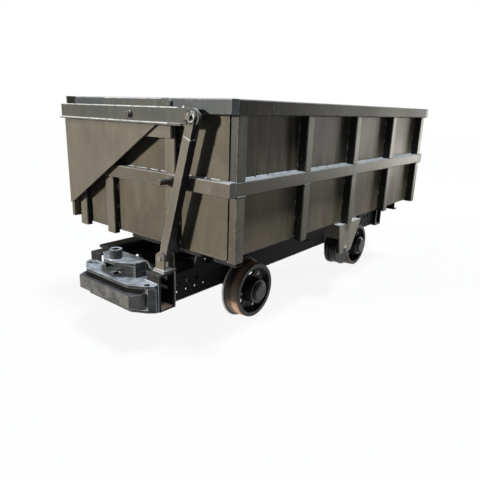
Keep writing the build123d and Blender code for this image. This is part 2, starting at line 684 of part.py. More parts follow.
def coupler_front():
    """The right half of the coupler plates' outline in front of the headstock."""
    x1 = HEAD_FRONT_X + COUPLER_FRONT
    return [(HEAD_FRONT_X, COUPLER_HALF_Y), (HEAD_FRONT_X + COUPLER_SIDE, COUPLER_HALF_Y),
            (HEAD_FRONT_X + COUPLER_CORNER, COUPLER_HALF_Y - COUPLER_SIDE), (x1, COUPLER_FLAT_Y)]


def coupler_housing():
    """Top and bottom plates round the buffer bar, and a bent cheek that closes each side."""
    inside = [(HEAD_BACK_X + HEAD_WALL, HEAD_POST_Y), (HEAD_FRONT_X, HEAD_POST_Y)]
    top = flat(mirrored(inside + coupler_front()), COUPLER_PLATE_BOTTOM, COUPLER_PLATE_TOP)
    foot_points = [(x - (COUPLER_FOOT_BACK if x > HEAD_FRONT_X else 0), y) for x, y in coupler_front()]
    low = flat(mirrored(foot_points), HEAD_BOTTOM, HEAD_BOTTOM + COUPLER_PLATE)
    body = top + low
    back, side, corner, tip = foot_points
    cheek = [back, side, corner, (corner[0], corner[1] - CHEEK_PLATE), (side[0], side[1] - CHEEK_PLATE),
             (back[0], back[1] - CHEEK_PLATE)]
    for piece in both_sides(flat(cheek, HEAD_BOTTOM + COUPLER_PLATE, COUPLER_PLATE_BOTTOM)):
        body += piece
    holes = [rod_z(PIN_X, 0, HEAD_BOTTOM, COUPLER_PLATE_TOP, PIN_BORE_R)]
    holes += both_sides(rod_z(PIN_X, SLOT_HOLE_Y, COUPLER_PLATE_BOTTOM, COUPLER_PLATE_TOP, SLOT_HOLE_R))
    for hole in holes:
        body -= hole
    return body


def hitch():
    """The raised plate over the coupler on its two side walls, with the pin's sleeve and a gusset at
    each side that stands on the headstock."""
    tip_x, shoulder_x = PIN_X + HITCH_TIP, PIN_X - HITCH_SHOULDER
    side_x, back_x = PIN_X - HITCH_SIDE_BACK, PIN_X - HITCH_BACK
    points = mirrored([(back_x, HITCH_BACK_Y), (side_x, HITCH_SIDE_Y), (shoulder_x, HITCH_SHOULDER_Y),
                       (tip_x, HITCH_TIP_Y)])
    sleeve_top = HITCH_TOP + SLEEVE_UP
    body = flat(points, HITCH_BOTTOM, HITCH_TOP) + rod_z(PIN_X, 0, HITCH_BOTTOM, sleeve_top, SLEEVE_R)
    inner_y = HITCH_SIDE_Y - HITCH_PLATE
    wall = [(side_x, HITCH_SIDE_Y), (shoulder_x, HITCH_SHOULDER_Y),
            (shoulder_x, HITCH_SHOULDER_Y - HITCH_PLATE), (side_x, inner_y)]
    gusset = [(inner_y, HITCH_TOP), (HITCH_SIDE_Y, HITCH_TOP), (HITCH_SIDE_Y + HITCH_GUSSET_OUT, HEAD_TOP),
              (inner_y, HEAD_TOP)]
    pieces = [flat(wall, COUPLER_PLATE_TOP, HITCH_BOTTOM), across(gusset, side_x - HITCH_GUSSET, side_x)]
    for piece in pieces:
        body += piece + left(piece)
    return body - rod_z(PIN_X, 0, HITCH_BOTTOM, sleeve_top, PIN_BORE_R)


nodes = {
    "side_beam_right": side_beam(),
    "side_beam_left": left(side_beam()),
    "cross_members": cross_members(),
    "hinge_sill": hinge_sill(),
    "rest_pads": rest_pads(),
    "axle_pedestals": both_ends(both_sides(pedestal())),
    "link_lugs": both_ends([link_lugs()]),
    "box_floor": box_floor(),
    "box_side_panel": side_panel(),
    "box_rim_side": belt_side(RIM_BOTTOM, BOX_TOP, 0),
    "box_band_side": belt_side(BAND_BOTTOM, BAND_TOP, BAND_LESS),
    "box_side_ribs": side_ribs(),
    "box_bolsters": bolsters(),
    "box_hinge_ears": hinge_ears(),
    "pivot_plates": both_ends([pivot_plate()]),
    "roller_bracket": roller_bracket(),
    "unloading_roller": roller(),
    "door_panel": door_panel(),
    "door_rim": door_belt(HALF_BOX, BOX_TOP - DOOR_RIM_HEIGHT, BOX_TOP, TUBE_WALL),
    "door_band": door_belt(ARM_INNER_X - DOOR_POST_WIDTH, BAND_BOTTOM, BAND_TOP, 0),
    "door_ribs": door_ribs(),
}

END_PIECES = {
    "headstock": [headstock()],
    "coupler_housing": [coupler_housing()],
    "buffer_bar": [buffer_block()],
    "hitch_plate": [hitch()],
    "box_end_plate": [end_plate()],
    "box_end_ribs": end_ribs(),
    "box_rim": [rim_end()],
    "box_band": [band_end()],
    "door_arm": [arm()],
    "link": [link()],
    "axle": [axle()],
    "wheels": both_sides(wheel()),
}
for name, pieces in END_PIECES.items():
    nodes[name + "_front"] = pieces
    nodes[name + "_rear"] = [rear(piece) for piece in pieces]

os.makedirs("parts", exist_ok=True)
for name, shape in nodes.items():
    pieces = shape if isinstance(shape, list) else [shape]
    solids = [solid for piece in pieces for solid in piece.solids()]
    export_step(solids[0] if len(solids) == 1 else Compound(children=solids), f"parts/{name}.step")
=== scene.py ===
# %% [markdown]
# # A side-tipping mine cart
#
# This lesson dresses a steel mine cart whose box tips to one side. The cart itself comes from its
# CAD model: every plate, rib, pin and wheel already has its real size and place, in metres, with
# +X at the coupler end and +Z up. What is left is what a welder and a painter would add: weld
# beads, the pins' washers and split pins, bolts, grease nipples, and the finish of each surface.

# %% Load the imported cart
import json
import math
import random
import bpy
from mathutils import Matrix, Vector


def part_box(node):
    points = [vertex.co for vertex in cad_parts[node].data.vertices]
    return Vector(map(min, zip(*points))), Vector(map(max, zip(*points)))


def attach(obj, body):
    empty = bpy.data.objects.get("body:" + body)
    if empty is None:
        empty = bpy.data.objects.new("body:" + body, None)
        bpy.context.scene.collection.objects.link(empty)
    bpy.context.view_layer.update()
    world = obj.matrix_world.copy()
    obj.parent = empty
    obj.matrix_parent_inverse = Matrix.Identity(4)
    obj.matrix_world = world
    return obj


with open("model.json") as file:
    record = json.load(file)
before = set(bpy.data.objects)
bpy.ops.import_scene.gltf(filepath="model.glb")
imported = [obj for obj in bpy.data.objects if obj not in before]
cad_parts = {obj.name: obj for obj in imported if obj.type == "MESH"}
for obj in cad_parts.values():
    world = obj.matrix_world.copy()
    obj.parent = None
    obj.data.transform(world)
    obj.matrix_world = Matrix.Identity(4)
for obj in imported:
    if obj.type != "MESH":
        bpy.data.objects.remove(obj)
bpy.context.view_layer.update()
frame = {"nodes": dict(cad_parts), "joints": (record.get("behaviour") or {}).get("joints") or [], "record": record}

MM = 0.001
ENDS = (("front", 1), ("rear", -1))
JOINT_AT = {joint["name"]: Vector(joint["pos_m"]) for joint in frame["joints"]}

# %% [markdown]
# ## The camera
#
# A camera that matches a photograph needs four things: where it stands, where it looks, how far
# it is rolled, and its focal length. All four were worked out from the box's long straight edges.
# The look direction is built from two angles, and the roll is turned on last, about the camera's
# own axis.

# %% Place the camera
CAMERA_AT = Vector((2.8258, 2.0036, 1.2830))
CAMERA_HEADING = math.radians(39.3)
CAMERA_DIP = math.radians(16.1)
CAMERA_ROLL = math.radians(1.8)
FOCAL_MM = 34.25
SENSOR_MM = 36

look = Vector((
    -math.cos(CAMERA_HEADING) * math.cos(CAMERA_DIP),
    -math.sin(CAMERA_HEADING) * math.cos(CAMERA_DIP),
    -math.sin(CAMERA_DIP),
))
level_right = look.cross(Vector((0, 0, 1))).normalized()
level_up = level_right.cross(look)
right = level_right * math.cos(CAMERA_ROLL) + level_up * math.sin(CAMERA_ROLL)
up = right.cross(look)
camera_data = bpy.data.cameras.new("camera")
camera_data.lens = FOCAL_MM
camera_data.sensor_width = SENSOR_MM
camera = bpy.data.objects.new("camera", camera_data)
camera.matrix_world = Matrix((
    (right.x, up.x, -look.x, CAMERA_AT.x),
    (right.y, up.y, -look.y, CAMERA_AT.y),
    (right.z, up.z, -look.z, CAMERA_AT.z),
    (0, 0, 0, 1),
))
bpy.context.scene.collection.objects.link(camera)
bpy.context.scene.camera = camera
print("camera looks along", [round(v, 3) for v in look])

# %% [markdown]
# ## Shader maths in plain arithmetic
#
# A finish is a chain of nodes, and long chains are hard to read as node code. So one small class
# wraps a socket and gives it the signs of ordinary arithmetic: writing `dust * 0.5 + grain` adds
# the two Math nodes. A second class holds a tree of nodes and has one method, `node`, for every
# other kind of node. A third adds what a material needs: noise, vectors and mixed colours.

# %% Wrap a socket in arithmetic
class Value:
    """A number that varies over a surface: each operator adds one Math node."""

    def __init__(self, shader, socket):
        self.shader = shader
        self.socket = socket

    def __add__(self, other):
        return self.shader.maths("ADD", self, other)

    def __sub__(self, other):
        return self.shader.maths("SUBTRACT", self, other)

    def __rsub__(self, other):
        return self.shader.maths("SUBTRACT", other, self)

    def __mul__(self, other):
        return self.shader.maths("MULTIPLY", self, other)

    __radd__ = __add__
    __rmul__ = __mul__

    def over(self, other):
        """The larger of the two."""
        return self.shader.maths("MAXIMUM", self, other)

    def step(self, low, high):
        """0 below low, 1 above high, and a straight slope between them."""
        inputs = {"Value": self, "From Min": low, "From Max": high}
        return self.shader.node("ShaderNodeMapRange", {"clamp": True}, inputs)


print("operators ready")


# %% Hold a tree of nodes
class Shader:
    """A tree of nodes while it is being made."""

    def __init__(self, tree):
        self.tree = tree

    def feed(self, node, socket, given):
        """Sets a socket of a node, or links it."""
        if isinstance(given, Value):
            self.tree.links.new(given.socket, node.inputs[socket])
        else:
            node.inputs[socket].default_value = given

    def node(self, kind, settings=None, inputs=None, output=0):
        """Adds a node: its settings first, then its sockets' values or links."""
        made = self.tree.nodes.new(kind)
        for name, setting in (settings or {}).items():
            setattr(made, name, setting)
        for socket, given in (inputs or {}).items():
            self.feed(made, socket, given)
        return Value(self, made.outputs[output])

    def maths(self, operation, *given):
        return self.node("ShaderNodeMath", {"operation": operation}, dict(enumerate(given)))


print("trees ready")


# %% Hold a material
class Finish(Shader):
    """A material while it is being made."""

    def __init__(self, name):
        self.material = bpy.data.materials.new(name)
        self.material.use_nodes = True
        super().__init__(self.material.node_tree)
        self.surface = self.tree.nodes["Principled BSDF"]
        self.place = self.node("ShaderNodeTexCoord", output="Object")
        self.normal = self.node("ShaderNodeNewGeometry", output="Normal")

    def vectors(self, operation, *given, output="Vector"):
        inputs = dict(enumerate(given))
        return self.node("ShaderNodeVectorMath", {"operation": operation}, inputs, output)

    def part_of(self, vector, axis):
        """One coordinate of a vector."""
        return self.node("ShaderNodeSeparateXYZ", None, {"Vector": vector}, axis)

    def noise(self, size, detail=3.0, roughness=0.5, stretch=(1, 1, 1)):
        """Smooth random values, size in metres, longer along the axes with a small stretch."""
        spot = self.node("ShaderNodeMapping", None, {"Vector": self.place, "Scale": stretch})
        inputs = {"Vector": spot, "Scale": 1 / size, "Detail": detail, "Roughness": roughness}
        return self.node("ShaderNodeTexNoise", None, inputs)

    def patches(self, between, **noise):
        """Patches of noise that fade in between two of its values."""
        return self.noise(**noise).step(*between)

    def mix(self, share, low, high):
        """A colour between low and high, which the Mix node has as sockets 6 and 7."""
        low, high = (c if isinstance(c, Value) else (*c, 1) for c in (low, high))
        return self.node("ShaderNodeMix", {"data_type": "RGBA"}, {0: share, 6: low, 7: high}, 2)

    def shade(self, sockets):
        """Sets or links the surface's own sockets."""
        for socket, given in sockets.items():
            self.feed(self.surface, socket, given)


def scaled(colour, gain):
    """A colour made lighter or darker."""
    return tuple(min(1, gain * c) for c in colour)


print("shader tools ready")

# %% [markdown]
# ## Where a surface faces, and where its edges are
#
# Real paint is never even. Dust settles on faces that look up, and those faces are also painted
# lighter as a sheen of the sky; handling rubs the paint off edges. The Geometry node tells which way
# a face looks. The Bevel node gives a normal that is rounded near edges; where it differs from the
# true normal there is an edge, and that difference is the wear mask.

# %% Masks for edges, tops and dents
EDGE_ROUND = 2.5 * MM
EDGE_FADE = (0.004, 0.08)


def rounded(finish, radius=EDGE_ROUND):
    """The surface's normal, rounded near its edges."""
    return finish.node("ShaderNodeBevel", {"samples": 4}, {"Radius": radius})


def edge_mask(finish, soft_normal):
    """1 on an edge and 0 on a flat face."""
    same = finish.vectors("DOT_PRODUCT", soft_normal, finish.normal, output="Value")
    return (1 - same).step(*EDGE_FADE)


def facing_up(finish, between):
    """1 on faces that look up, fading in between two slopes."""
    return finish.part_of(finish.normal, "Z").step(*between)


def bump(finish, height, depth, soft_normal):
    inputs = {"Height": height, "Distance": depth, "Strength": 1.0, "Normal": soft_normal}
    return finish.node("ShaderNodeBump", None, inputs)


print("edges are rounded by", EDGE_ROUND, "m")

# %% [markdown]
# ## Painted steel
#
# Nearly all of the cart has a dark satin paint, brushed or sprayed over rolled plate. What makes
# it look like steel is not its colour but how it varies: broad cloudy patches, faint upright
# streaks where rain ran down, scuffs, lighter edges, dust and a painted sheen on top faces, and a
# slow waviness from rolling and welding that bends the reflections. Each pattern is a noise of its
# own size, so they stand in one table.

# %% List the paint's patterns
PATTERNS = {
    "clouds": dict(size=0.45, detail=4, between=(0.35, 0.68)),
    "streaks": dict(size=0.05, stretch=(1, 1, 0.08), between=(0.50, 0.78)),
    "scuffs": dict(size=0.09, detail=6, roughness=0.72, stretch=(1, 1, 2.2), between=(0.64, 0.70)),
    "smudges": dict(size=0.10, detail=5, roughness=0.62, stretch=(1, 1, 0.6), between=(0.42, 0.64)),
    "reddish": dict(size=0.16, stretch=(1, 1, 0.10), between=(0.50, 0.66)),
    "greenish": dict(size=0.11, stretch=(1, 1, 0.12), between=(0.54, 0.70)),
    "rubbed": dict(size=0.03, between=(0.36, 0.55)),
    "spots": dict(size=0.014, detail=1, between=(0.66, 0.70)),
    "spotted": dict(size=0.13, detail=2, between=(0.50, 0.60)),
}
GRAIN_SIZE = 12 * MM
WAVE_SIZE = 0.22
WAVE_DEPTH = 1.2 * MM


def pattern(finish, name):
    return finish.patches(**PATTERNS[name])


print("patterns", sorted(PATTERNS))

# %% [markdown]
# ## Paint and painted shade that change from place to place
#
# The same paint is not coloured the same everywhere. High up it is made cooler or darker, which is
# painted shade under the rim; the sides of the ribs and links are painted near black, which is
# painted shade too; and the frame's lowest ledges are rusty. Each of these is a mask made from the
# place or the direction of a face, and a paint's row says which ones it has.

# %% Mask the painted shade and the rusty parts
REDDISH = (0.105, 0.062, 0.050)
GREENISH = (0.085, 0.098, 0.060)
# Painted shade: the near black laid on the sides of ribs and links
SIDE_SHADE_BLACK = (0.010, 0.011, 0.014)
RUST_SCALE = (0.27, 0.195, 0.145)
# Fades of the painted shade high up
HIGH_SHADE_FADE_Z = 0.03
HIGH_SHADE_FADE_X = 0.3
SHARP_FADE = 0.01
SIDEWAYS = (0.4, 0.7)


def high_shade_part(finish, from_z, from_x):
    """Painted shade: 1 above a height, and towards the front where from_x is given."""
    high_shade = finish.part_of(finish.place, "Z").step(from_z - HIGH_SHADE_FADE_Z, from_z + HIGH_SHADE_FADE_Z)
    if from_x is None:
        return high_shade
    forward = finish.part_of(finish.place, "X")
    return high_shade * forward.step(from_x - HIGH_SHADE_FADE_X, from_x + HIGH_SHADE_FADE_X)


def side_shade_part(finish, amount, axis, until_x):
    """Painted shade on the faces that look along an axis, with half of it in front of until_x."""
    across = finish.part_of(finish.normal, axis)
    side_shaded = (across * across).step(*SIDEWAYS) * amount
    if until_x is None:
        return side_shaded
    in_front = finish.part_of(finish.place, "X").step(until_x, until_x + SHARP_FADE)
    return side_shaded * (1 - in_front * 0.5)


def rusty_part(finish, below_z):
    return 1 - finish.part_of(finish.place, "Z").step(below_z, below_z + SHARP_FADE)


print("paint masks ready")

# %% [markdown]
# ## One function for every paint
#
# The layers go on in the order in which they would on the real cart, with painted shade laid in
# among them: the paint and its patches, painted shade high up, streaks and smudges, tints, painted
# shade on the sides of ribs and links, scuffs and chips, dust and a painted sheen on top faces, and
# last the edges that are rubbed to the metal.

# %% Define the paint
TOP_FACES = (0.3, 0.9)
STREAK_GAIN = 1.35
SMUDGE_GAIN, SMUDGE_SHARE = 0.66, 0.45
SCUFF_SHARE = 0.3
# The dust share on top faces is also a painted sheen of the sky there
DUST_AND_SHEEN_SHARE, DUST_AND_SHEEN_GAPS = 0.95, 0.35


def paint(name, base, patch, dust_and_sheen, edge, gloss=0.40, shine=0.25, scuffs=0.5, specks=0.2,
          streaky=0.2, tints=0.0, high_shade=None, high_shade_from=0.0, high_shade_from_x=None, side_shade=0.0,
          side_shade_axis="Y", side_shade_until=None, low_rust=None):
    finish = Finish(name)
    soft = rounded(finish)
    clouds, smudges = pattern(finish, "clouds"), pattern(finish, "smudges")
    grain = finish.noise(GRAIN_SIZE, detail=2)
    top = facing_up(finish, TOP_FACES)
    worn = edge_mask(finish, soft) * pattern(finish, "rubbed")
    colour = finish.mix(clouds, base, patch)
    # Painted shade: a cooler or darker colour above a height
    if high_shade is not None:
        colour = finish.mix(high_shade_part(finish, high_shade_from, high_shade_from_x), colour, high_shade)
    streaks = pattern(finish, "streaks") * streaky
    colour = finish.mix(streaks, colour, scaled(patch, STREAK_GAIN))
    colour = finish.mix(smudges * SMUDGE_SHARE, colour, scaled(base, SMUDGE_GAIN))
    if tints:
        colour = finish.mix(pattern(finish, "reddish") * tints, colour, REDDISH)
        colour = finish.mix(pattern(finish, "greenish") * tints, colour, GREENISH)
    # Painted shade: faces that look along an axis turn near black
    if side_shade:
        colour = finish.mix(side_shade_part(finish, side_shade, side_shade_axis, side_shade_until), colour, SIDE_SHADE_BLACK)
    colour = finish.mix(pattern(finish, "scuffs") * (scuffs * SCUFF_SHARE), colour, dust_and_sheen)
    chips = pattern(finish, "spots") * pattern(finish, "spotted")
    colour = finish.mix(chips * specks, colour, edge)
    # Top faces: dust, and a painted sheen where the sky lights them
    colour = finish.mix(top * (DUST_AND_SHEEN_SHARE - smudges * DUST_AND_SHEEN_GAPS), colour, dust_and_sheen)
    if low_rust is not None:
        colour = finish.mix(top * rusty_part(finish, low_rust), colour, RUST_SCALE)
    height = finish.noise(WAVE_SIZE, detail=1) + grain * 0.015
    finish.shade({
        "Base Color": finish.mix(worn, colour, edge),
        "Roughness": top * 0.15 + clouds * 0.08 + grain * 0.06 + (gloss - worn * 0.08),
        "Normal": bump(finish, height, WAVE_DEPTH, soft),
        "Specular IOR Level": shine,
    })
    return finish.material


print("paint ready")

# %% [markdown]
# ## The paints
#
# The plates, ribs, rims, arms and frame were painted alike but weathered differently, so each has
# a row: its colour, the colour of its cloudy patches, the dust on it, which on top faces is also a
# painted sheen of the sky, and its rubbed edges. Some rows carry painted light or shade as well. The
# pieces that weathered alike share their dust, sheen and edges.

# %% Mix the paints
# Each dust colour is also the painted sheen on top faces
PLATE_WEAR = dict(dust_and_sheen=(0.30, 0.275, 0.235), edge=(0.45, 0.45, 0.42))
RIB_WEAR = dict(dust_and_sheen=(0.50, 0.52, 0.52), edge=(0.55, 0.56, 0.55))
ARM_WEAR = dict(dust_and_sheen=(0.60, 0.60, 0.58), edge=(0.60, 0.60, 0.58), specks=0.04)
PAINTS = {
    "plate_paint": dict(
        PLATE_WEAR, base=(0.108, 0.095, 0.070), patch=(0.172, 0.151, 0.114),
        gloss=0.29, shine=0.16, scuffs=0.4, specks=0.05),
    # The long side's panels: a lighter copy of the plate paint, which is painted light, as the main lamp leaves
    # that side in shade; high up towards the front they get painted shade
    "side_paint": dict(
        PLATE_WEAR, base=(0.188, 0.155, 0.104), patch=(0.245, 0.203, 0.139),
        high_shade=(0.030, 0.025, 0.018), high_shade_from=0.91, high_shade_from_x=-0.60,
        gloss=0.36, shine=0.15, scuffs=0.9, tints=0.8, specks=0.05, streaky=0.6),
    # Painted shade: cooler above 1.2 m
    "rib_paint": dict(
        RIB_WEAR, base=(0.112, 0.100, 0.077), patch=(0.148, 0.132, 0.101),
        high_shade=(0.078, 0.086, 0.085), high_shade_from=1.20, gloss=0.36, specks=0.25, tints=0.25),
    # The long side's ribs: painted shade on their sides, and painted shade high up at the front
    "side_rib_paint": dict(
        RIB_WEAR, base=(0.155, 0.138, 0.104), patch=(0.215, 0.192, 0.146),
        high_shade=(0.055, 0.052, 0.045), high_shade_from=0.91, high_shade_from_x=0.95,
        side_shade=0.85, side_shade_axis="X", side_shade_until=1.20,
        gloss=0.34, specks=0.25, tints=0.4, streaky=0.5),
    # The end ribs: painted shade on their sides that look along Y
    "end_rib_paint": dict(
        RIB_WEAR, base=(0.150, 0.136, 0.106), patch=(0.205, 0.186, 0.145),
        side_shade=0.92, gloss=0.36, specks=0.1, tints=0.25),
    "end_rim_paint": dict(
        base=(0.062, 0.073, 0.078), patch=(0.077, 0.090, 0.094),
        dust_and_sheen=(0.50, 0.52, 0.52), edge=(0.60, 0.63, 0.65), gloss=0.33, specks=0.1),
    "side_rim_paint": dict(
        base=(0.034, 0.030, 0.025), patch=(0.052, 0.046, 0.037),
        dust_and_sheen=(0.50, 0.50, 0.48), edge=(0.55, 0.54, 0.50),
        gloss=0.38, shine=0.10, specks=0.25, tints=0.15, streaky=0.9),
    # Painted shade: cooler and darker above 1.19 m
    "arm_paint": dict(
        ARM_WEAR, base=(0.150, 0.135, 0.105), patch=(0.175, 0.158, 0.123),
        high_shade=(0.064, 0.070, 0.067), high_shade_from=1.19),
    # The links: painted shade on their sides
    "link_paint": dict(
        ARM_WEAR, base=(0.150, 0.138, 0.110), patch=(0.190, 0.173, 0.140), side_shade=1.0),
    "bracket_paint": dict(
        ARM_WEAR, base=(0.34, 0.302, 0.24), patch=(0.42, 0.375, 0.30)),
    "frame_paint": dict(
        base=(0.020, 0.021, 0.023), patch=(0.034, 0.034, 0.035),
        dust_and_sheen=(0.10, 0.095, 0.085), edge=(0.20, 0.20, 0.20),
        gloss=0.50, shine=0.10, low_rust=0.27),
    "load_floor_paint": dict(
        base=(0.085, 0.070, 0.055), patch=(0.150, 0.115, 0.085),
        dust_and_sheen=(0.21, 0.165, 0.125), edge=(0.32, 0.31, 0.29),
        gloss=0.38, scuffs=1.0, tints=0.7, specks=0.8),
}
finishes = {name: paint(name, **row) for name, row in PAINTS.items()}
print("paints", sorted(finishes))

# %% [markdown]
# ## Bare and oiled iron
#
# The coupler is burnt and ground plate with a thin oily skin, so it is partly metallic and its cut
# edges shine. Its top faces are painted a lighter blue-grey, a painted sheen of the sky, with fine
# scratches all over. The buffer bar is rougher and duller. The roller is polished by its ramp and
# has turned ridges, drawn as a sine wave along its axle.

# %% Define the oiled iron
IRON_ROUND = 4 * MM
IRON_METAL = 0.35
IRON_TOP_FACES = (0.4, 0.95)
IRON_EDGE_GAIN = 1.6


def oiled_iron(name, base, patch, edge, gloss=0.42, ridges=0.0, pits=0.8 * MM):
    """Iron with pits this deep, or with ridges this far apart."""
    finish = Finish(name)
    soft = rounded(finish, IRON_ROUND)
    clouds = finish.patches((0.38, 0.62), size=0.07, detail=6, roughness=0.68)
    scratches = finish.patches((0.60, 0.72), size=0.02, stretch=(0.15, 1, 1))
    worn = edge_mask(finish, soft) * finish.patches((0.30, 0.50), size=0.02)
    # Painted sheen: top faces lightened towards the edge colour, plus real scratches all over
    top_sheen_and_scratches = facing_up(finish, IRON_TOP_FACES) * (clouds * 0.75 + 0.32) + scratches * 0.15
    colour = finish.mix(top_sheen_and_scratches, finish.mix(clouds, base, patch), edge)
    height = finish.noise(0.035, detail=5)
    if ridges:
        turn = finish.part_of(finish.place, "Y") * (2 * math.pi / ridges)
        height = height * 0.3 + finish.maths("SINE", turn) * 2
    finish.shade({
        "Base Color": finish.mix(worn, colour, scaled(edge, IRON_EDGE_GAIN)),
        "Metallic": IRON_METAL,
        "Roughness": clouds * 0.14 + (gloss - worn * 0.1),
        "Normal": bump(finish, height, pits, soft),
    })
    return finish.material


# Each row's edge colour is its worn edges' colour and also the painted sheen on its top faces
IRONS = {
    "coupler_iron": dict(
        base=(0.025, 0.028, 0.031), patch=(0.066, 0.070, 0.072), edge=(0.58, 0.62, 0.68)),
    "buffer_iron": dict(
        base=(0.058, 0.057, 0.055), patch=(0.150, 0.150, 0.145), edge=(0.13, 0.135, 0.14),
        pits=2.2 * MM),
    "roller_iron": dict(
        base=(0.016, 0.016, 0.017), patch=(0.030, 0.030, 0.031), edge=(0.09, 0.09, 0.09),
        gloss=0.20, ridges=21 * MM),
}
finishes.update({name: oiled_iron(name, **row) for name, row in IRONS.items()})
print("irons", sorted(IRONS))

# %% [markdown]
# ## The wheels
#
# The wheels are cast iron: dark paint on the web, a rust-brown running surface, darker where the
# rail wears it, and a flange that the rail keeps bright, painted lighter still as a highlight along
# its edge. Painting each ring as a piece of its own would need cuts in the mesh. Instead the rings
# are drawn by the distance from the axle.

# %% Define the wheel's iron
RING_R = 0.146
TREAD_R = 0.166
FLANGE_TIP_R = 0.185
RING_FADE = 0.002
TREAD_FLATNESS = (0.55, 0.75)
FACE_FLATNESS = (0.75, 0.9)
WORN_BAND_IN = (0.340, 0.356)
WORN_BAND_OUT = (0.384, 0.400)
WHEEL_RUST = ((0.56, 0.335, 0.225), (0.74, 0.480, 0.335))
WHEEL_PAINT = ((0.018, 0.017, 0.016), (0.034, 0.031, 0.028))
WHEEL_EDGE = (0.16, 0.15, 0.14)
RING_FACE = (0.17, 0.165, 0.155)
WORN_TREAD = (0.125, 0.088, 0.066)
# Bright metal on the flange's tip: worn by the rail, and partly a painted highlight
BRIGHT_FLANGE = (0.72, 0.72, 0.70)


def outside(radius, start):
    """1 further from the axle than start."""
    return radius.step(start, start + RING_FADE)


def wheel_iron(name, axle):
    finish = Finish(name)
    soft = rounded(finish)
    from_axle = finish.vectors("SUBTRACT", finish.place, tuple(axle))
    upright = finish.vectors("MULTIPLY", from_axle, (1, 0, 1))
    radius = finish.vectors("LENGTH", upright, output="Value")
    sideways = finish.vectors("DOT_PRODUCT", finish.normal, (0, 1, 0), output="Value")
    flatness = sideways * sideways
    on_tread = outside(radius, TREAD_R) * (1 - flatness.step(*TREAD_FLATNESS))
    on_ring = outside(radius, RING_R) * flatness.step(*FACE_FLATNESS)
    bright = outside(radius, FLANGE_TIP_R)
    from_middle = finish.maths("ABSOLUTE", finish.part_of(finish.place, "Y"))
    off_band = from_middle.step(*WORN_BAND_IN) * (1 - from_middle.step(*WORN_BAND_OUT))
    clouds = finish.patches((0.35, 0.7), size=0.06, detail=5, roughness=0.65)
    rust = finish.mix(off_band, WORN_TREAD, finish.mix(clouds, *WHEEL_RUST))
    iron = finish.mix(edge_mask(finish, soft) * 0.8, finish.mix(clouds, *WHEEL_PAINT), WHEEL_EDGE)
    colour = finish.mix(on_tread, finish.mix(on_ring, iron, RING_FACE), rust)
    finish.shade({
        "Base Color": finish.mix(bright, colour, BRIGHT_FLANGE),
        "Metallic": bright * 0.8,
        "Roughness": clouds * 0.12 + (0.44 - bright * 0.14),
        "Normal": bump(finish, finish.noise(0.02, detail=5), 0.6 * MM, soft),
    })
    return finish.material


print("wheel rings at", RING_R, TREAD_R, FLANGE_TIP_R)

# %% [markdown]
# ## Small steel
#
# Pins, washers, bolts and axles are turned or drawn steel, a little cloudy, with lighter rims.
# Ground edges and weld stitches are the same steel, only brighter and less metallic, since a
# freshly ground face scatters light more than it mirrors.

# %% Define the small steel
STEEL_PITS = 0.2 * MM


def turned_steel(name, base, gloss, metal, edge_round=0.8 * MM, rim=None):
    """The rim's colour is the base made lighter, unless one is given."""
    finish = Finish(name)
    soft = rounded(finish, edge_round)
    clouds = finish.patches((0.3, 0.7), size=0.03, detail=4)
    colour = finish.mix(clouds, base, scaled(base, 0.6))
    finish.shade({
        "Base Color": finish.mix(edge_mask(finish, soft) * 0.6, colour, rim or scaled(base, 1.8)),
        "Metallic": metal,
        "Roughness": clouds * 0.15 + gloss,
        "Normal": bump(finish, finish.noise(0.008), STEEL_PITS, soft),
    })
    return finish.material


STEELS = {
    "axle_steel": dict(base=(0.12, 0.12, 0.12), gloss=0.45, metal=0.5),
    "ground_edge": dict(base=(0.70, 0.73, 0.76), gloss=0.45, metal=0.15),
    "worn_iron": dict(base=(0.30, 0.30, 0.29), gloss=0.26, metal=0.45),
    # The hub caps' bright rims are partly worn steel and partly a painted highlight on their rounded edges
    "cap_iron": dict(base=(0.13, 0.13, 0.12), gloss=0.26, metal=0.45,
                     edge_round=5 * MM, rim=(0.80, 0.80, 0.78)),
    "black_wire": dict(base=(0.008, 0.008, 0.010), gloss=0.5, metal=0.1),
    "bright_steel": dict(base=(0.50, 0.50, 0.48), gloss=0.32, metal=0.9),
}
finishes.update({name: turned_steel(name, **row) for name, row in STEELS.items()})
print("finishes", len(finishes))

# %% [markdown]
# ## Each node gets its finish
#
# The imported record says which finish each CAD piece has. A few pieces have a paint of their own
# here: some weathered differently from their neighbours, and the long side's panels, its ribs, the
# end ribs and the links carry painted light or shade. The wheels are the other exception: each
# wheelset needs its own copy of the wheel's iron, because its rings are centred on its own axle.

# %% Finish the CAD pieces
OWN_PAINT = {
    "box_floor": "load_floor_paint",
    "box_side_panel": "side_paint",
    "box_side_ribs": "side_rib_paint",
    "box_rim_side": "side_rim_paint",
    "roller_bracket": "bracket_paint",
}
for end, sign in ENDS:
    OWN_PAINT[f"link_{end}"] = "link_paint"
    OWN_PAINT[f"box_end_ribs_{end}"] = "end_rib_paint"
    OWN_PAINT[f"box_rim_{end}"] = "end_rim_paint"
    OWN_PAINT[f"buffer_bar_{end}"] = "buffer_iron"
    finishes[f"wheels_{end}"] = wheel_iron(
        f"wheel_iron_{end}", JOINT_AT[f"wheelset_{end}_spin"])
    OWN_PAINT[f"wheels_{end}"] = f"wheels_{end}"
slots = {row["node"]: row["material_slot"] for row in frame["record"]["subparts"]}
for name, node in frame["nodes"].items():
    node.data.materials.clear()
    node.data.materials.append(finishes[OWN_PAINT.get(name, slots[name])])
print("finished", len(slots), "CAD pieces")

# %% [markdown]
# ## Tools for modelling by hand
#
# Every added piece starts as a primitive at its real size and is then shaped in edit mode. A few
# small helpers keep that tidy: one clears the selection, one bakes the object's place into its
# mesh, one joins pieces, and one copies a finished piece to a new spot, turned so that its own Z
# axis points where it should.

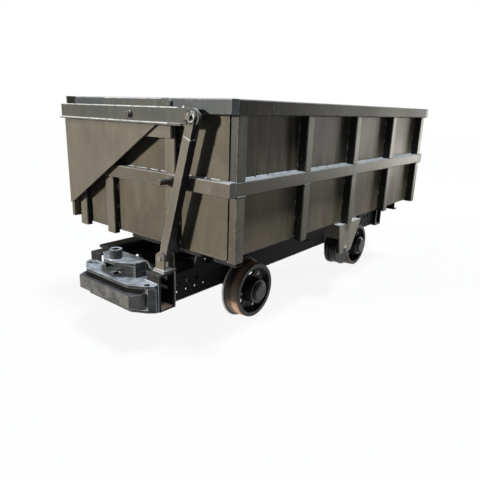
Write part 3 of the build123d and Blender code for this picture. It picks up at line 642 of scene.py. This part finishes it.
# %% Define the hand tools
def start_clean():
    bpy.ops.object.select_all(action="DESELECT")


def pick(piece):
    start_clean()
    piece.select_set(True)
    bpy.context.view_layer.objects.active = piece


def bake_place(piece):
    pick(piece)
    bpy.ops.object.transform_apply(location=True, rotation=True, scale=True)


def smooth(piece, angle):
    """Shades smooth across edges that bend less than an angle in degrees."""
    pick(piece)
    bpy.ops.object.shade_smooth_by_angle(angle=math.radians(angle))


def join(pieces, name):
    """Makes one piece of several."""
    start_clean()
    for piece in pieces:
        piece.select_set(True)
    bpy.context.view_layer.objects.active = pieces[0]
    if len(pieces) > 1:
        bpy.ops.object.join()
    pieces[0].name = name
    return pieces[0]


print("hand tools ready")


# %% Copy a pattern and finish a piece
masters = []


def own_copy(master):
    """A copy with its own mesh."""
    piece = master.copy()
    piece.data = master.data.copy()
    bpy.context.scene.collection.objects.link(piece)
    return piece


def copy_to(master, spot, towards=(0, 0, 1), size=(1, 1, 1), twist=0.0):
    """A copy whose Z axis turns towards a direction, at spot."""
    piece = own_copy(master)
    turn = Vector(towards).to_track_quat("Z", "Y").to_matrix().to_4x4()
    scale = Matrix.Diagonal((*size, 1))
    twisted = Matrix.Rotation(twist, 4, "Z")
    piece.data.transform(Matrix.Translation(spot) @ turn @ twisted @ scale)
    return piece


def mm(*sizes):
    """Sizes given in millimetres."""
    return tuple(size * MM for size in sizes)


def finish_piece(piece, body, material):
    piece.data.materials.clear()
    piece.data.materials.append(finishes[material])
    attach(piece, body)
    print(piece.name, "faces", len(piece.data.polygons))


print("copying ready")

# %% [markdown]
# ## Weld beads
#
# A weld bead is a row of small overlapping ripples, each where the welder paused. It could be a
# smooth rod with a bump texture, but a close camera sees the rod's outline, so the ripples are
# modelled: one short bead is made by extruding a hexagon again and again, and every other ring is
# wider. Each seam is then a row of such beads, stretched a little to fit, lying in the corner
# between the two plates.

# %% Model one short bead
BEAD_PITCH = 7 * MM
BEAD_RIPPLES = 8
BEAD_LENGTH = BEAD_PITCH * BEAD_RIPPLES
BEAD_SWELL = 1.22

start_clean()
bpy.ops.mesh.primitive_circle_add(vertices=6, radius=1.0, fill_type="NGON", location=(0, 0, 0))
bead = bpy.context.object
bead.name = "bead_master"
bpy.ops.object.mode_set(mode="EDIT")
bpy.ops.mesh.select_all(action="SELECT")
for ripple in range(BEAD_RIPPLES):
    for share, squeeze in ((0.65, BEAD_SWELL), (0.35, 1 / BEAD_SWELL)):
        bpy.ops.mesh.extrude_region_move(
            TRANSFORM_OT_translate={"value": (0, 0, BEAD_PITCH * share)})
        bpy.ops.transform.resize(value=(squeeze, squeeze, 1), center_override=(0, 0, 0))
bpy.ops.mesh.select_all(action="SELECT")
bpy.ops.mesh.normals_make_consistent(inside=False)
bpy.ops.object.mode_set(mode="OBJECT")
masters.append(bead)
print("bead length", BEAD_LENGTH, "faces", len(bead.data.polygons))

# %% [markdown]
# ## Laying the seams
#
# Each seam is given by its two ends. The helper works out how many short beads it needs, repeats
# the master with an Array modifier, and stretches the row to the exact length. A small seeded
# change of width from seam to seam keeps them from looking printed.

# %% Lay a seam between two points
SEED = 11
WIDTH_LUCK = (0.85, 1.15)
luck = random.Random(SEED)


def seam(start, end, width):
    start, end = Vector(start), Vector(end)
    length = (end - start).length
    count = max(1, round(length / BEAD_LENGTH))
    piece = own_copy(bead)
    pick(piece)
    row = piece.modifiers.new("row", "ARRAY")
    row.count = count
    row.use_relative_offset = False
    row.use_constant_offset = True
    row.constant_offset_displace = (0, 0, BEAD_LENGTH)
    bpy.ops.object.modifier_apply(modifier="row")
    wide = width * luck.uniform(*WIDTH_LUCK)
    turn = (end - start).to_track_quat("Z", "Y").to_matrix().to_4x4()
    fit = Matrix.Diagonal((wide, wide, length / (count * BEAD_LENGTH), 1))
    piece.data.transform(Matrix.Translation(start) @ turn @ fit)
    return piece


print("seam widths vary with seed", SEED)


# %% Lay many seams as one piece
def rear_of(points):
    """The same seam at the cart's other end."""
    return tuple(Vector((-p[0], p[1], p[2])) for p in points)


def seams(name, body, runs, width, material, mirrored=True):
    """Lays all the seams in runs, and their twins at the rear end."""
    pieces = []
    for run in runs:
        pieces.append(seam(*run, width))
        if mirrored:
            pieces.append(seam(*rear_of(run), width))
    piece = join(pieces, name)
    smooth(piece, 50)
    finish_piece(piece, body, material)


def along(x0, x1, y, z):
    """The two ends of a seam that runs along the cart."""
    return (x0, y, z), (x1, y, z)


def across(x, y0, y1, z):
    return (x, y0, z), (x, y1, z)


def upright(x, y, z0, z1):
    return (x, y, z0), (x, y, z1)


print("seam tools ready")

# %% [markdown]
# ## The box's seams
#
# The box is rolled plate with pressed channels welded on. Its seams follow those channels, so
# their places come from the CAD pieces' own boxes: the undersides of the rim and the middle band,
# and each rib's two edges. They are painted over with the ribs.

# %% Find the box's edges
RIB_COUNT = 5
RIB_WIDTH = 64 * MM
side_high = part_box("box_side_panel")[1]
rim_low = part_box("box_rim_side")[0]
band_low, band_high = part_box("box_band_side")
ribs_low, ribs_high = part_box("box_side_ribs")
end_low, end_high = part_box("box_end_plate_front")
SIDE_Y = rim_low.y
END_X = end_high.x
rib_step = (ribs_high.x - ribs_low.x - RIB_WIDTH) / (RIB_COUNT - 1)
rib_xs = [ribs_low.x + RIB_WIDTH / 2 + i * rib_step for i in range(RIB_COUNT)]
bays = [(x0 + RIB_WIDTH / 2, x1 - RIB_WIDTH / 2) for x0, x1 in zip(rib_xs[:-1], rib_xs[1:])]
rib_spans = ((ribs_low.z, band_low.z), (band_high.z, rim_low.z))
print("ribs at", [round(x, 3) for x in rib_xs])

# %% Weld the long side
CORNER_GAP = 20 * MM
side_runs = []
for x in rib_xs:
    for z0, z1 in rib_spans:
        for edge_x in (x - RIB_WIDTH / 2, x + RIB_WIDTH / 2):
            if abs(edge_x) < END_X - CORNER_GAP:
                side_runs.append(upright(edge_x, SIDE_Y, z0, z1))
    for z in (band_low.z, rim_low.z):
        side_runs.append(along(x - RIB_WIDTH / 2, x + RIB_WIDTH / 2, ribs_high.y - 1 * MM, z))
seams("welds_side_ribs", "box", side_runs, 3 * MM, "rib_paint", mirrored=False)
belt_runs = [along(x0, x1, SIDE_Y, z) for x0, x1 in bays for z in (rim_low.z, band_low.z)]
seams("welds_side_belts", "box", belt_runs, 3 * MM, "rib_paint", mirrored=False)

# %% [markdown]
# ## Stitches and ground edges
#
# Where a long seam need not be tight, a welder lays short stitches with gaps between them, and
# grinds their tops bright. The same helper makes both: short stitches in the ribs' dark corners,
# and long ones with hardly a gap along the band's top and the arms' edges.

# %% Lay a row of stitches
STITCH_LUCK = (0.67, 1.33)


def stitches(name, body, runs, width, stitch, gap, mirrored=True):
    """Short beads along each run: their lengths and gaps vary by up to a third."""
    laid = []
    for start, end in runs:
        start, end = Vector(start), Vector(end)
        forward = (end - start).normalized()
        at, last = gap * luck.random() / 2, (end - start).length
        while at < last - stitch / 2:
            reach = min(stitch * luck.uniform(*STITCH_LUCK), last - at)
            laid.append((start + forward * at, start + forward * (at + reach)))
            at += reach + gap * luck.uniform(*STITCH_LUCK)
    seams(name, body, laid, width, "ground_edge", mirrored)


band_top_runs = [along(x0, x1, SIDE_Y + 3 * MM, band_high.z) for x0, x1 in bays]
corner_runs = [upright(x0 + 1 * MM, SIDE_Y + 2 * MM, z0, z1)
               for x0, x1 in bays for z0, z1 in rib_spans]
stitches("band_top_stitches", "box", band_top_runs, width=6 * MM, stitch=0.13, gap=0.012,
         mirrored=False)
stitches("rib_corner_stitches", "box", corner_runs, width=2 * MM, stitch=0.022, gap=0.085,
         mirrored=False)

# %% [markdown]
# ## The box's ends
#
# The end plates have ribs and a band too, but the arm's pivot plates and the arm itself hide
# much of them. Only what shows is welded here: stitches beside the ribs and on top of the band,
# and painted seams below it.

# %% Weld the box's ends
END_RIB_EDGES = (-0.253, 0.278)
END_RIB_FAR_EDGES = (-0.329, 0.202)
MIDDLE_BAY = (-0.20, 0.20)
BAND_TOP_FROM = -0.25
NEAR_BAY_FROM = 0.28
end_foot_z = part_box("box_end_ribs_front")[0].z + 8 * MM
end_band_low, end_band_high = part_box("box_band_front")
pivot_low, pivot_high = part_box("pivot_plates")
corner_y = side_high.y - 2 * MM
stitch_x = END_X + 2 * MM
end_stitch_runs = []
for y in END_RIB_EDGES:
    end_stitch_runs.append(upright(stitch_x, y + 1 * MM, end_foot_z, end_band_low.z))
    end_stitch_runs.append(upright(stitch_x, y + 1 * MM, end_band_high.z, pivot_low.z))
end_top_runs = [across(stitch_x, BAND_TOP_FROM, MIDDLE_BAY[1], end_band_high.z),
                across(stitch_x, NEAR_BAY_FROM, corner_y, end_band_high.z)]
end_runs = [upright(END_X, y, end_low.z, end_band_low.z) for y in END_RIB_FAR_EDGES]
end_runs += [across(END_X, *MIDDLE_BAY, end_band_low.z),
             across(END_X, NEAR_BAY_FROM, corner_y, rim_low.z)]
stitches("end_rib_stitches", "box", end_stitch_runs, width=2 * MM, stitch=0.022, gap=0.075)
stitches("end_band_stitches", "box", end_top_runs, width=4 * MM, stitch=0.07, gap=0.02)
seams("end_welds", "box", end_runs, 3 * MM, "rib_paint")

# %% [markdown]
# ## Washers and split pins
#
# Each pin of the linkage is kept by a washer and a split pin through a cross hole. The washer is
# a short cylinder whose top is inset and raised into a sloping rim, then inset again and sunk a
# little. The split pin is a thin wire: a circle is spun into the eye, then both legs are extruded
# straight through the pin and their ends are spun apart.

# %% Model the washer
def edit_top(piece):
    """Opens a piece in edit mode with only the faces that look up selected."""
    pick(piece)
    bpy.ops.object.mode_set(mode="EDIT")
    bpy.ops.mesh.select_mode(type="FACE")
    bpy.ops.mesh.select_all(action="DESELECT")
    bpy.ops.object.mode_set(mode="OBJECT")
    for face in piece.data.polygons:
        face.select = face.normal.z > 0.9
    bpy.ops.object.mode_set(mode="EDIT")


def inset_top(width, rise):
    bpy.ops.mesh.inset(thickness=width)
    bpy.ops.transform.translate(value=(0, 0, rise))


# Shares of the radius and the thickness, which are both 1
RIM_WIDTH, RIM_RISE = 0.07, 0.12
DISH_WIDTH, DISH_DEPTH = 0.30, 0.05

start_clean()
bpy.ops.mesh.primitive_cylinder_add(vertices=32, radius=1.0, depth=1.0, location=(0, 0, 0.5))
washer = bpy.context.object
washer.name = "washer_master"
bake_place(washer)
edit_top(washer)
inset_top(RIM_WIDTH, RIM_RISE)
inset_top(DISH_WIDTH, -DISH_DEPTH)
bpy.ops.object.mode_set(mode="OBJECT")
smooth(washer, 30)
masters.append(washer)
print("washer faces", len(washer.data.polygons))

# %% Model the split pin
WIRE_R = 2.3 * MM
EYE_R = 5 * MM
PIN_LEG = 42 * MM
EYE_TURN = 165
TIP = (10 * MM, -6 * MM)


def wire_leg(side, bend):
    """One leg with half of the eye: spun at the top, straight below, its tip spun outwards."""
    start_clean()
    bpy.ops.mesh.primitive_circle_add(vertices=8, radius=WIRE_R, fill_type="NGON",
                                      location=(0, 0, 2 * EYE_R))
    leg = bpy.context.object
    leg.rotation_euler = (0, math.radians(90), 0)
    bake_place(leg)
    bpy.ops.object.mode_set(mode="EDIT")
    bpy.ops.mesh.select_all(action="SELECT")
    bpy.ops.mesh.spin(steps=8, angle=math.radians(EYE_TURN) * side, center=(0, 0, EYE_R),
                      axis=(0, 1, 0))
    bpy.ops.mesh.extrude_region_move(TRANSFORM_OT_translate={"value": (0, 0, -PIN_LEG)})
    bpy.ops.mesh.spin(steps=4, angle=math.radians(-bend) * side,
                      center=(side * 3 * EYE_R, 0, -PIN_LEG), axis=(0, 1, 0))
    bpy.ops.mesh.extrude_region_move(TRANSFORM_OT_translate={"value": (side * TIP[0], 0, TIP[1])})
    bpy.ops.mesh.select_all(action="SELECT")
    bpy.ops.mesh.remove_doubles(threshold=0.0001)
    bpy.ops.mesh.normals_make_consistent(inside=False)
    bpy.ops.object.mode_set(mode="OBJECT")
    return leg


split_pin = join([wire_leg(1, 55), wire_leg(-1, 40)], "split_pin_master")
smooth(split_pin, 60)
masters.append(split_pin)
print("split pin faces", len(split_pin.data.polygons))

# %% [markdown]
# ## Bolts
#
# A bolt is a hexagon head on a round washer face. The head's top corners are chamfered on a real
# bolt, which an inset and a small push do here.

# %% Model the bolt
HEAD_HEIGHT = 0.75
HEAD_FOOT = 0.18
WASHER_FACE_R = 1.35
CHAMFER_WIDTH, CHAMFER_RISE = 0.13, 0.08

start_clean()
bpy.ops.mesh.primitive_cylinder_add(vertices=6, radius=1.0, depth=HEAD_HEIGHT,
                                    location=(0, 0, HEAD_FOOT + HEAD_HEIGHT / 2))
head = bpy.context.object
bake_place(head)
edit_top(head)
inset_top(CHAMFER_WIDTH, CHAMFER_RISE)
bpy.ops.object.mode_set(mode="OBJECT")
washer_face = copy_to(washer, (0, 0, 0), size=(WASHER_FACE_R, WASHER_FACE_R, HEAD_FOOT))
bolt = join([head, washer_face], "bolt_master")
smooth(bolt, 20)
masters.append(bolt)
print("bolt faces", len(bolt.data.polygons))

# %% [markdown]
# ## Fitting the linkage's pins
#
# The joints' own places give each pin's centre line, and the CAD pieces' boxes say how far each
# pin stands out. A washer goes against the outer plate, and the split pin crosses the pin in
# front of it. The split pins lie flat, so that they stay clear of the arm when the door opens.

# %% Define how pins are fitted
FLAT = math.radians(90)


def fit_washer(name, body, spot, towards, radius, thickness, material):
    ring = copy_to(washer, spot, towards, (radius, radius, thickness))
    finish_piece(join([ring], name), body, material)


def fit_split_pin(name, body, spot, lean, lift, wire, reach):
    """A split pin that leans from upright by an angle, its eye lifted off the pin's middle."""
    leg = Vector((0, math.sin(lean), math.cos(lean)))
    cotter = copy_to(split_pin, Vector(spot) + leg * lift, leg, (wire, wire, reach), FLAT)
    finish_piece(join([cotter], name), body, "black_wire")


def pin_dressing(name, body, centre, plate_x, washer_size, pin_x, **split):
    """A washer on the plate's outer face and a split pin across the pin, at both ends."""
    for end, sign in ENDS:
        here = body.format(end=end)
        fit_washer(f"{name}_washer_{end}", here, (sign * plate_x, centre.y, centre.z),
                   (sign, 0, 0), *washer_size, "bright_steel")
        fit_split_pin(f"{name}_split_pin_{end}", here, (sign * pin_x, centre.y, centre.z), **split)


print("pin tools ready")

# %% Fit washers and split pins
ARM_EYE_REACH = 0.458
SECOND_PIN_LEAN = 0.7
arm_low, arm_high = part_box("door_arm_front")
link_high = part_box("link_front")[1]
arm_face_x = arm_high.x - 13 * MM
link_face_x = link_high.x - 22 * MM
pivot = JOINT_AT["door_swing"]
eye = pivot + Vector((0, ARM_EYE_REACH, 0))
pin_dressing("pivot_pin", "box", pivot, arm_face_x, mm(19, 3), pivot_high.x - 12 * MM,
             lean=math.radians(-35), lift=12 * MM, wire=0.85, reach=0.75)
pin_dressing("link_top_pin", "link_{end}", eye, link_face_x, mm(25, 5), link_high.x - 5 * MM,
             lean=math.radians(20), lift=16 * MM, wire=1.2, reach=1.2)
for end, sign in ENDS:
    fit_split_pin(f"pivot_second_pin_{end}", "box",
                  (sign * (pivot_high.x - 6 * MM), pivot.y, pivot.z),
                  lean=SECOND_PIN_LEAN, lift=12 * MM, wire=0.85, reach=0.75)

# %% [markdown]
# ## Ground edges on the linkage
#
# The ends of the forks and the edges of the arms and pivot plates are ground and rubbed bright.
# A painted mask would have to find each edge by its place. Thin beads laid along the edges need
# only the helpers that are there already, and they catch the light as a worn edge does.

# %% Grind the fork ends bright
FORK_END_R = 0.0252
FORK_FACES = (1.3288, 1.3202, 1.2918)
fork_turns = [math.radians(a) for a in range(-20, 181, 20)]
for end, sign in ENDS:
    arcs = []
    for x in FORK_FACES:
        points = [(sign * x, eye.y + FORK_END_R * math.cos(t), eye.z + FORK_END_R * math.sin(t))
                  for t in fork_turns]
        arcs += zip(points[:-1], points[1:])
    seams(f"fork_edges_{end}", f"link_{end}", arcs, 1.6 * MM, "ground_edge",
          mirrored=False)

# %% Grind the pivot plates' and the arms' edges bright
PIVOT_FACE_X = 1.284
ARM_TIP_Y = 0.430
FLANGE_TIP_Y = 0.398
flange_top_z = arm_high.z - 73 * MM
arm_foot_y = arm_low.y + 4 * MM
plate_runs = [across(PIVOT_FACE_X - 1 * MM, pivot_low.y + 6 * MM, pivot_high.y - 12 * MM,
                     pivot_high.z - 1 * MM)]
stitches("pivot_plate_edges", "box", plate_runs, width=2.6 * MM, stitch=0.13, gap=0.006)
arm_runs = [across(arm_face_x - 1 * MM, arm_foot_y, ARM_TIP_Y, arm_high.z - 1 * MM),
            across(arm_high.x - 1 * MM, arm_foot_y, FLANGE_TIP_Y, flange_top_z - 1 * MM)]
stitches("arm_edges", "door", arm_runs, width=3 * MM, stitch=0.16, gap=0.007)
arm_seams = [across(arm_face_x, arm_foot_y, FLANGE_TIP_Y, flange_top_z)]
seams("arm_welds", "door", arm_seams, 3 * MM, "arm_paint")

# %% [markdown]
# ## Welds on the links and the frame
#
# The fork is welded into the link's tube, the lugs and the coupler's housing onto the headstock,
# and the sleeve for the coupling pin onto the hitch plate. Rubbed steel shows along the beam's
# lower edges too, and it is laid as long stitches, like the ground edges above.

# %% Weld the forks and rub the beam's edges
FORK_WELD = ((1.329, 0.423, 1.150), (1.329, 0.469, 1.132))
for end, sign in ENDS:
    run = [(sign * x, y, z) for x, y, z in FORK_WELD]
    seams(f"link_fork_weld_{end}", f"link_{end}", [run], 3 * MM, "ground_edge",
          mirrored=False)
beam_low, beam_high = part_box("side_beam_right")
beam_edges = [along(beam_low.x + 2 * MM, beam_high.x - 2 * MM, side * beam_high.y,
                    beam_low.z + 1 * MM) for side in (-1, 1)]
stitches("beam_edges", "frame", beam_edges, width=2.2 * MM, stitch=0.5, gap=0.02,
         mirrored=False)

# %% Weld the headstocks, the lugs and the sleeves
HOUSING_TOP_SEAMS = ((-0.26, -0.19), (0.19, 0.29))
LUG_TOP_X = 1.353
LUG_FACE_X = 1.344
LUG_FOOT_Z = 0.455
head_low, head_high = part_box("headstock_front")
housing_low, housing_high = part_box("coupler_housing_front")
lug_low, lug_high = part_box("link_lugs")
frame_runs = [upright(head_high.x, side * housing_high.y, housing_low.z, housing_high.z)
              for side in (-1, 1)]
frame_runs += [across(head_high.x, *ys, housing_high.z) for ys in HOUSING_TOP_SEAMS]
frame_runs += [across(LUG_TOP_X, lug_low.y, lug_high.y, head_high.z),
               across(LUG_FACE_X, lug_low.y + 4 * MM, lug_high.y - 4 * MM, LUG_FOOT_Z),
               upright(head_low.x, head_high.y, head_low.z, head_high.z)]
seams("headstock_welds", "frame", frame_runs, 3.5 * MM, "ground_edge")

SLEEVE_R = 35 * MM
SLEEVE_X = 1.433
SLEEVE_FOOT_Z = 0.481
sleeve_turns = [i * math.pi / 6 for i in range(13)]
ring_at = [(SLEEVE_X + SLEEVE_R * math.cos(t), SLEEVE_R * math.sin(t), SLEEVE_FOOT_Z)
           for t in sleeve_turns]
seams("sleeve_welds", "frame", list(zip(ring_at[:-1], ring_at[1:])), 3 * MM, "ground_edge")

# %% [markdown]
# ## Grease nipples, wheel caps and bolts
#
# Each link's upper pin is greased through a nipple on the arm above it. A pressed cap closes each
# wheel's hub, and a bolt sits on every second spoke. Bolts also hold the axle brackets to the
# beams, and a round keeper closes the roller's axle.

# %% Fit the grease nipples
NIPPLE_Y = 0.406
for end, sign in ENDS:
    spot = Vector((sign * (arm_face_x - 6 * MM), NIPPLE_Y, arm_high.z - 2 * MM))
    base = copy_to(bolt, spot, size=mm(7, 7, 6))
    tip = copy_to(washer, spot + Vector((0, 0, 4 * MM)), size=mm(4, 4, 7))
    finish_piece(join([base, tip], f"grease_nipple_{end}"), "door", "ground_edge")

# %% Fit the wheels' caps and bolts
CAP_FOOT_Y = 0.425
CAP_END_Y = 0.445
SPOKE_BOLT_R = 0.106
SPOKE_FACE_Y = 0.372
spoke_turns = [math.radians(a) for a in (0, 120, 240)]
for end, sign in ENDS:
    axle = JOINT_AT[f"wheelset_{end}_spin"]
    caps, knobs = [], []
    for side in (-1, 1):
        out = (0, side, 0)
        caps.append(copy_to(washer, (axle.x, side * CAP_FOOT_Y, axle.z), out, mm(70, 70, 4)))
        caps.append(copy_to(washer, (axle.x, side * CAP_END_Y, axle.z), out, mm(47, 47, 5)))
        for t in spoke_turns:
            spot = (axle.x + SPOKE_BOLT_R * math.cos(t), side * SPOKE_FACE_Y,
                    axle.z + SPOKE_BOLT_R * math.sin(t))
            knobs.append(copy_to(bolt, spot, out, mm(8, 8, 9)))
    finish_piece(join(caps, f"hub_caps_{end}"), f"wheelset_{end}", "cap_iron")
    finish_piece(join(knobs, f"spoke_bolts_{end}"), f"wheelset_{end}", "bright_steel")

# %% Fit the axle brackets' bolts and the roller's keeper
BRACKET_X = 0.703
BOLT_STEP_X = 0.074
BOLT_Y = 0.252
FOOT_Z = 0.240
KEEPER_Y = 0.648
foot_bolts = [copy_to(bolt, (x + dx, side * BOLT_Y, FOOT_Z), (0, 0, -1), mm(10, 10, 10))
              for x in (-BRACKET_X, BRACKET_X) for dx in (-BOLT_STEP_X, BOLT_STEP_X)
              for side in (-1, 1)]
finish_piece(join(foot_bolts, "axle_bracket_bolts"), "frame", "axle_steel")
fit_washer("roller_axle_keeper", "box", (0, KEEPER_Y, JOINT_AT["roller_spin"].z), (0, 1, 0),
           *mm(17, 5), "worn_iron")

# %% Fit the lower link pins
lower = JOINT_AT["link_swing_front"]
lug_face_x = lug_high.x - 9 * MM
washer_x = link_face_x + 0.4 * MM
for end, sign in ENDS:
    fit_washer(f"lower_pin_head_{end}", "frame", (sign * lug_face_x, lower.y, lower.z),
               (sign, 0, 0), *mm(14, 6), "worn_iron")
    fit_washer(f"lower_pin_washer_{end}", f"link_{end}", (sign * washer_x, lower.y, lower.z),
               (sign, 0, 0), *mm(31, 1.8), "bright_steel")

# %% [markdown]
# ## The floor and the light
#
# The cart stands on a plain pale floor against white. A floor that is white only in the camera's
# eyes does it without more light on the cart: part of it glows for camera rays, and the rest is
# ordinary pale paint that takes the cart's shadow. For other rays it is dull, so little light
# comes back up from it. The sky is white for the camera in the same way, and otherwise dim. The
# main light is a low warm one from the front left, which throws crisp shadows. A cool soft one
# comes from above, and a lamp behind on the right makes the long side gleam.

# %% Lay the floor
FLOOR_SIZE = 60
FLOOR_PALE = (0.85, 0.85, 0.85)
FLOOR_DULL = (0.08, 0.08, 0.08)
FLOOR_ROUGHNESS = 0.9
FLOOR_GLOW = 0.90
FLOOR_SHINE = 0.6


def ray(shader, kind):
    """1 for the rays of one kind: Camera, Glossy or Transmission."""
    return shader.node("ShaderNodeLightPath", output=f"Is {kind} Ray")


def white_share(shader, seen, mirrored):
    """How much plain white a ray finds: straight on, in a mirror, and all of it through glass."""
    direct = ray(shader, "Camera") * seen
    return direct.over(ray(shader, "Glossy") * mirrored).over(ray(shader, "Transmission"))


start_clean()
bpy.ops.mesh.primitive_grid_add(x_subdivisions=2, y_subdivisions=2, size=FLOOR_SIZE,
                                location=(0, 0, -0.5 * MM))
floor = bpy.context.object
floor.name = "floor"
bake_place(floor)
floor_finish = Finish("floor_paint")
floor_finish.shade({
    "Base Color": floor_finish.mix(ray(floor_finish, "Camera"), FLOOR_DULL, FLOOR_PALE),
    "Roughness": FLOOR_ROUGHNESS,
})
share = white_share(floor_finish, FLOOR_GLOW, FLOOR_SHINE)
glow = floor_finish.node("ShaderNodeEmission", None, {"Color": (1, 1, 1, 1), "Strength": 1.0})
painted = Value(floor_finish, floor_finish.surface.outputs[0])
blend = floor_finish.node("ShaderNodeMixShader", None, {0: share, 1: painted, 2: glow})
floor_finish.feed(floor_finish.tree.nodes["Material Output"], "Surface", blend)
floor.data.materials.append(floor_finish.material)
print("floor laid")

# %% Set the sky
SKY_COLOUR = (0.48, 0.72, 1.0, 1)
SKY_LIGHT = 0.05
SKY_SHINE = 0.09

world = bpy.data.worlds.new("studio")
bpy.context.scene.world = world
world.use_nodes = True
sky = Shader(world.node_tree)
dim = sky.node("ShaderNodeBackground", None, {"Color": SKY_COLOUR, "Strength": SKY_LIGHT})
white = sky.node("ShaderNodeBackground", None, {"Color": (1, 1, 1, 1), "Strength": 1.0})
share = white_share(sky, 1.0, SKY_SHINE)
blend = sky.node("ShaderNodeMixShader", None, {0: share, 1: dim, 2: white})
sky.feed(sky.tree.nodes["World Output"], "Surface", blend)
print("sky light", SKY_LIGHT)


# %% Hang the lamps
def lamp(name, kind, spot, target, energy, colour, **settings):
    data = bpy.data.lights.new(name, kind)
    data.energy = energy
    data.color = colour
    for key, setting in settings.items():
        setattr(data, key, setting)
    light = bpy.data.objects.new(name, data)
    light.location = spot
    light.rotation_euler = (Vector(target) - Vector(spot)).to_track_quat("-Z", "Y").to_euler()
    bpy.context.scene.collection.objects.link(light)


BOX_MIDDLE = (0, 0, 0.9)
REAR_SIDE = (0, 0.7, 1.0)
lamp("key", "SUN", (5.0, -2.4, 1.7), BOX_MIDDLE, 3.95, (1.0, 0.95, 0.86),
     angle=math.radians(5.0))
lamp("top", "SUN", (-0.3, 1.7, 6.9), BOX_MIDDLE, 3.1, (0.86, 0.93, 1.0),
     angle=math.radians(14.0))
lamp("glow", "AREA", (-7.0, 2.9, 0.8), REAR_SIDE, 140.0, (1.0, 0.96, 0.88),
     shape="RECTANGLE", size=2.6, size_y=2.0)

# %% [markdown]
# ## Last things
#
# The pieces that served as patterns are removed, and the picture's colours are set to plain
# display.

# %% Clear the patterns and finish
for master in masters:
    bpy.data.objects.remove(master)
bpy.context.scene.view_settings.view_transform = "Standard"
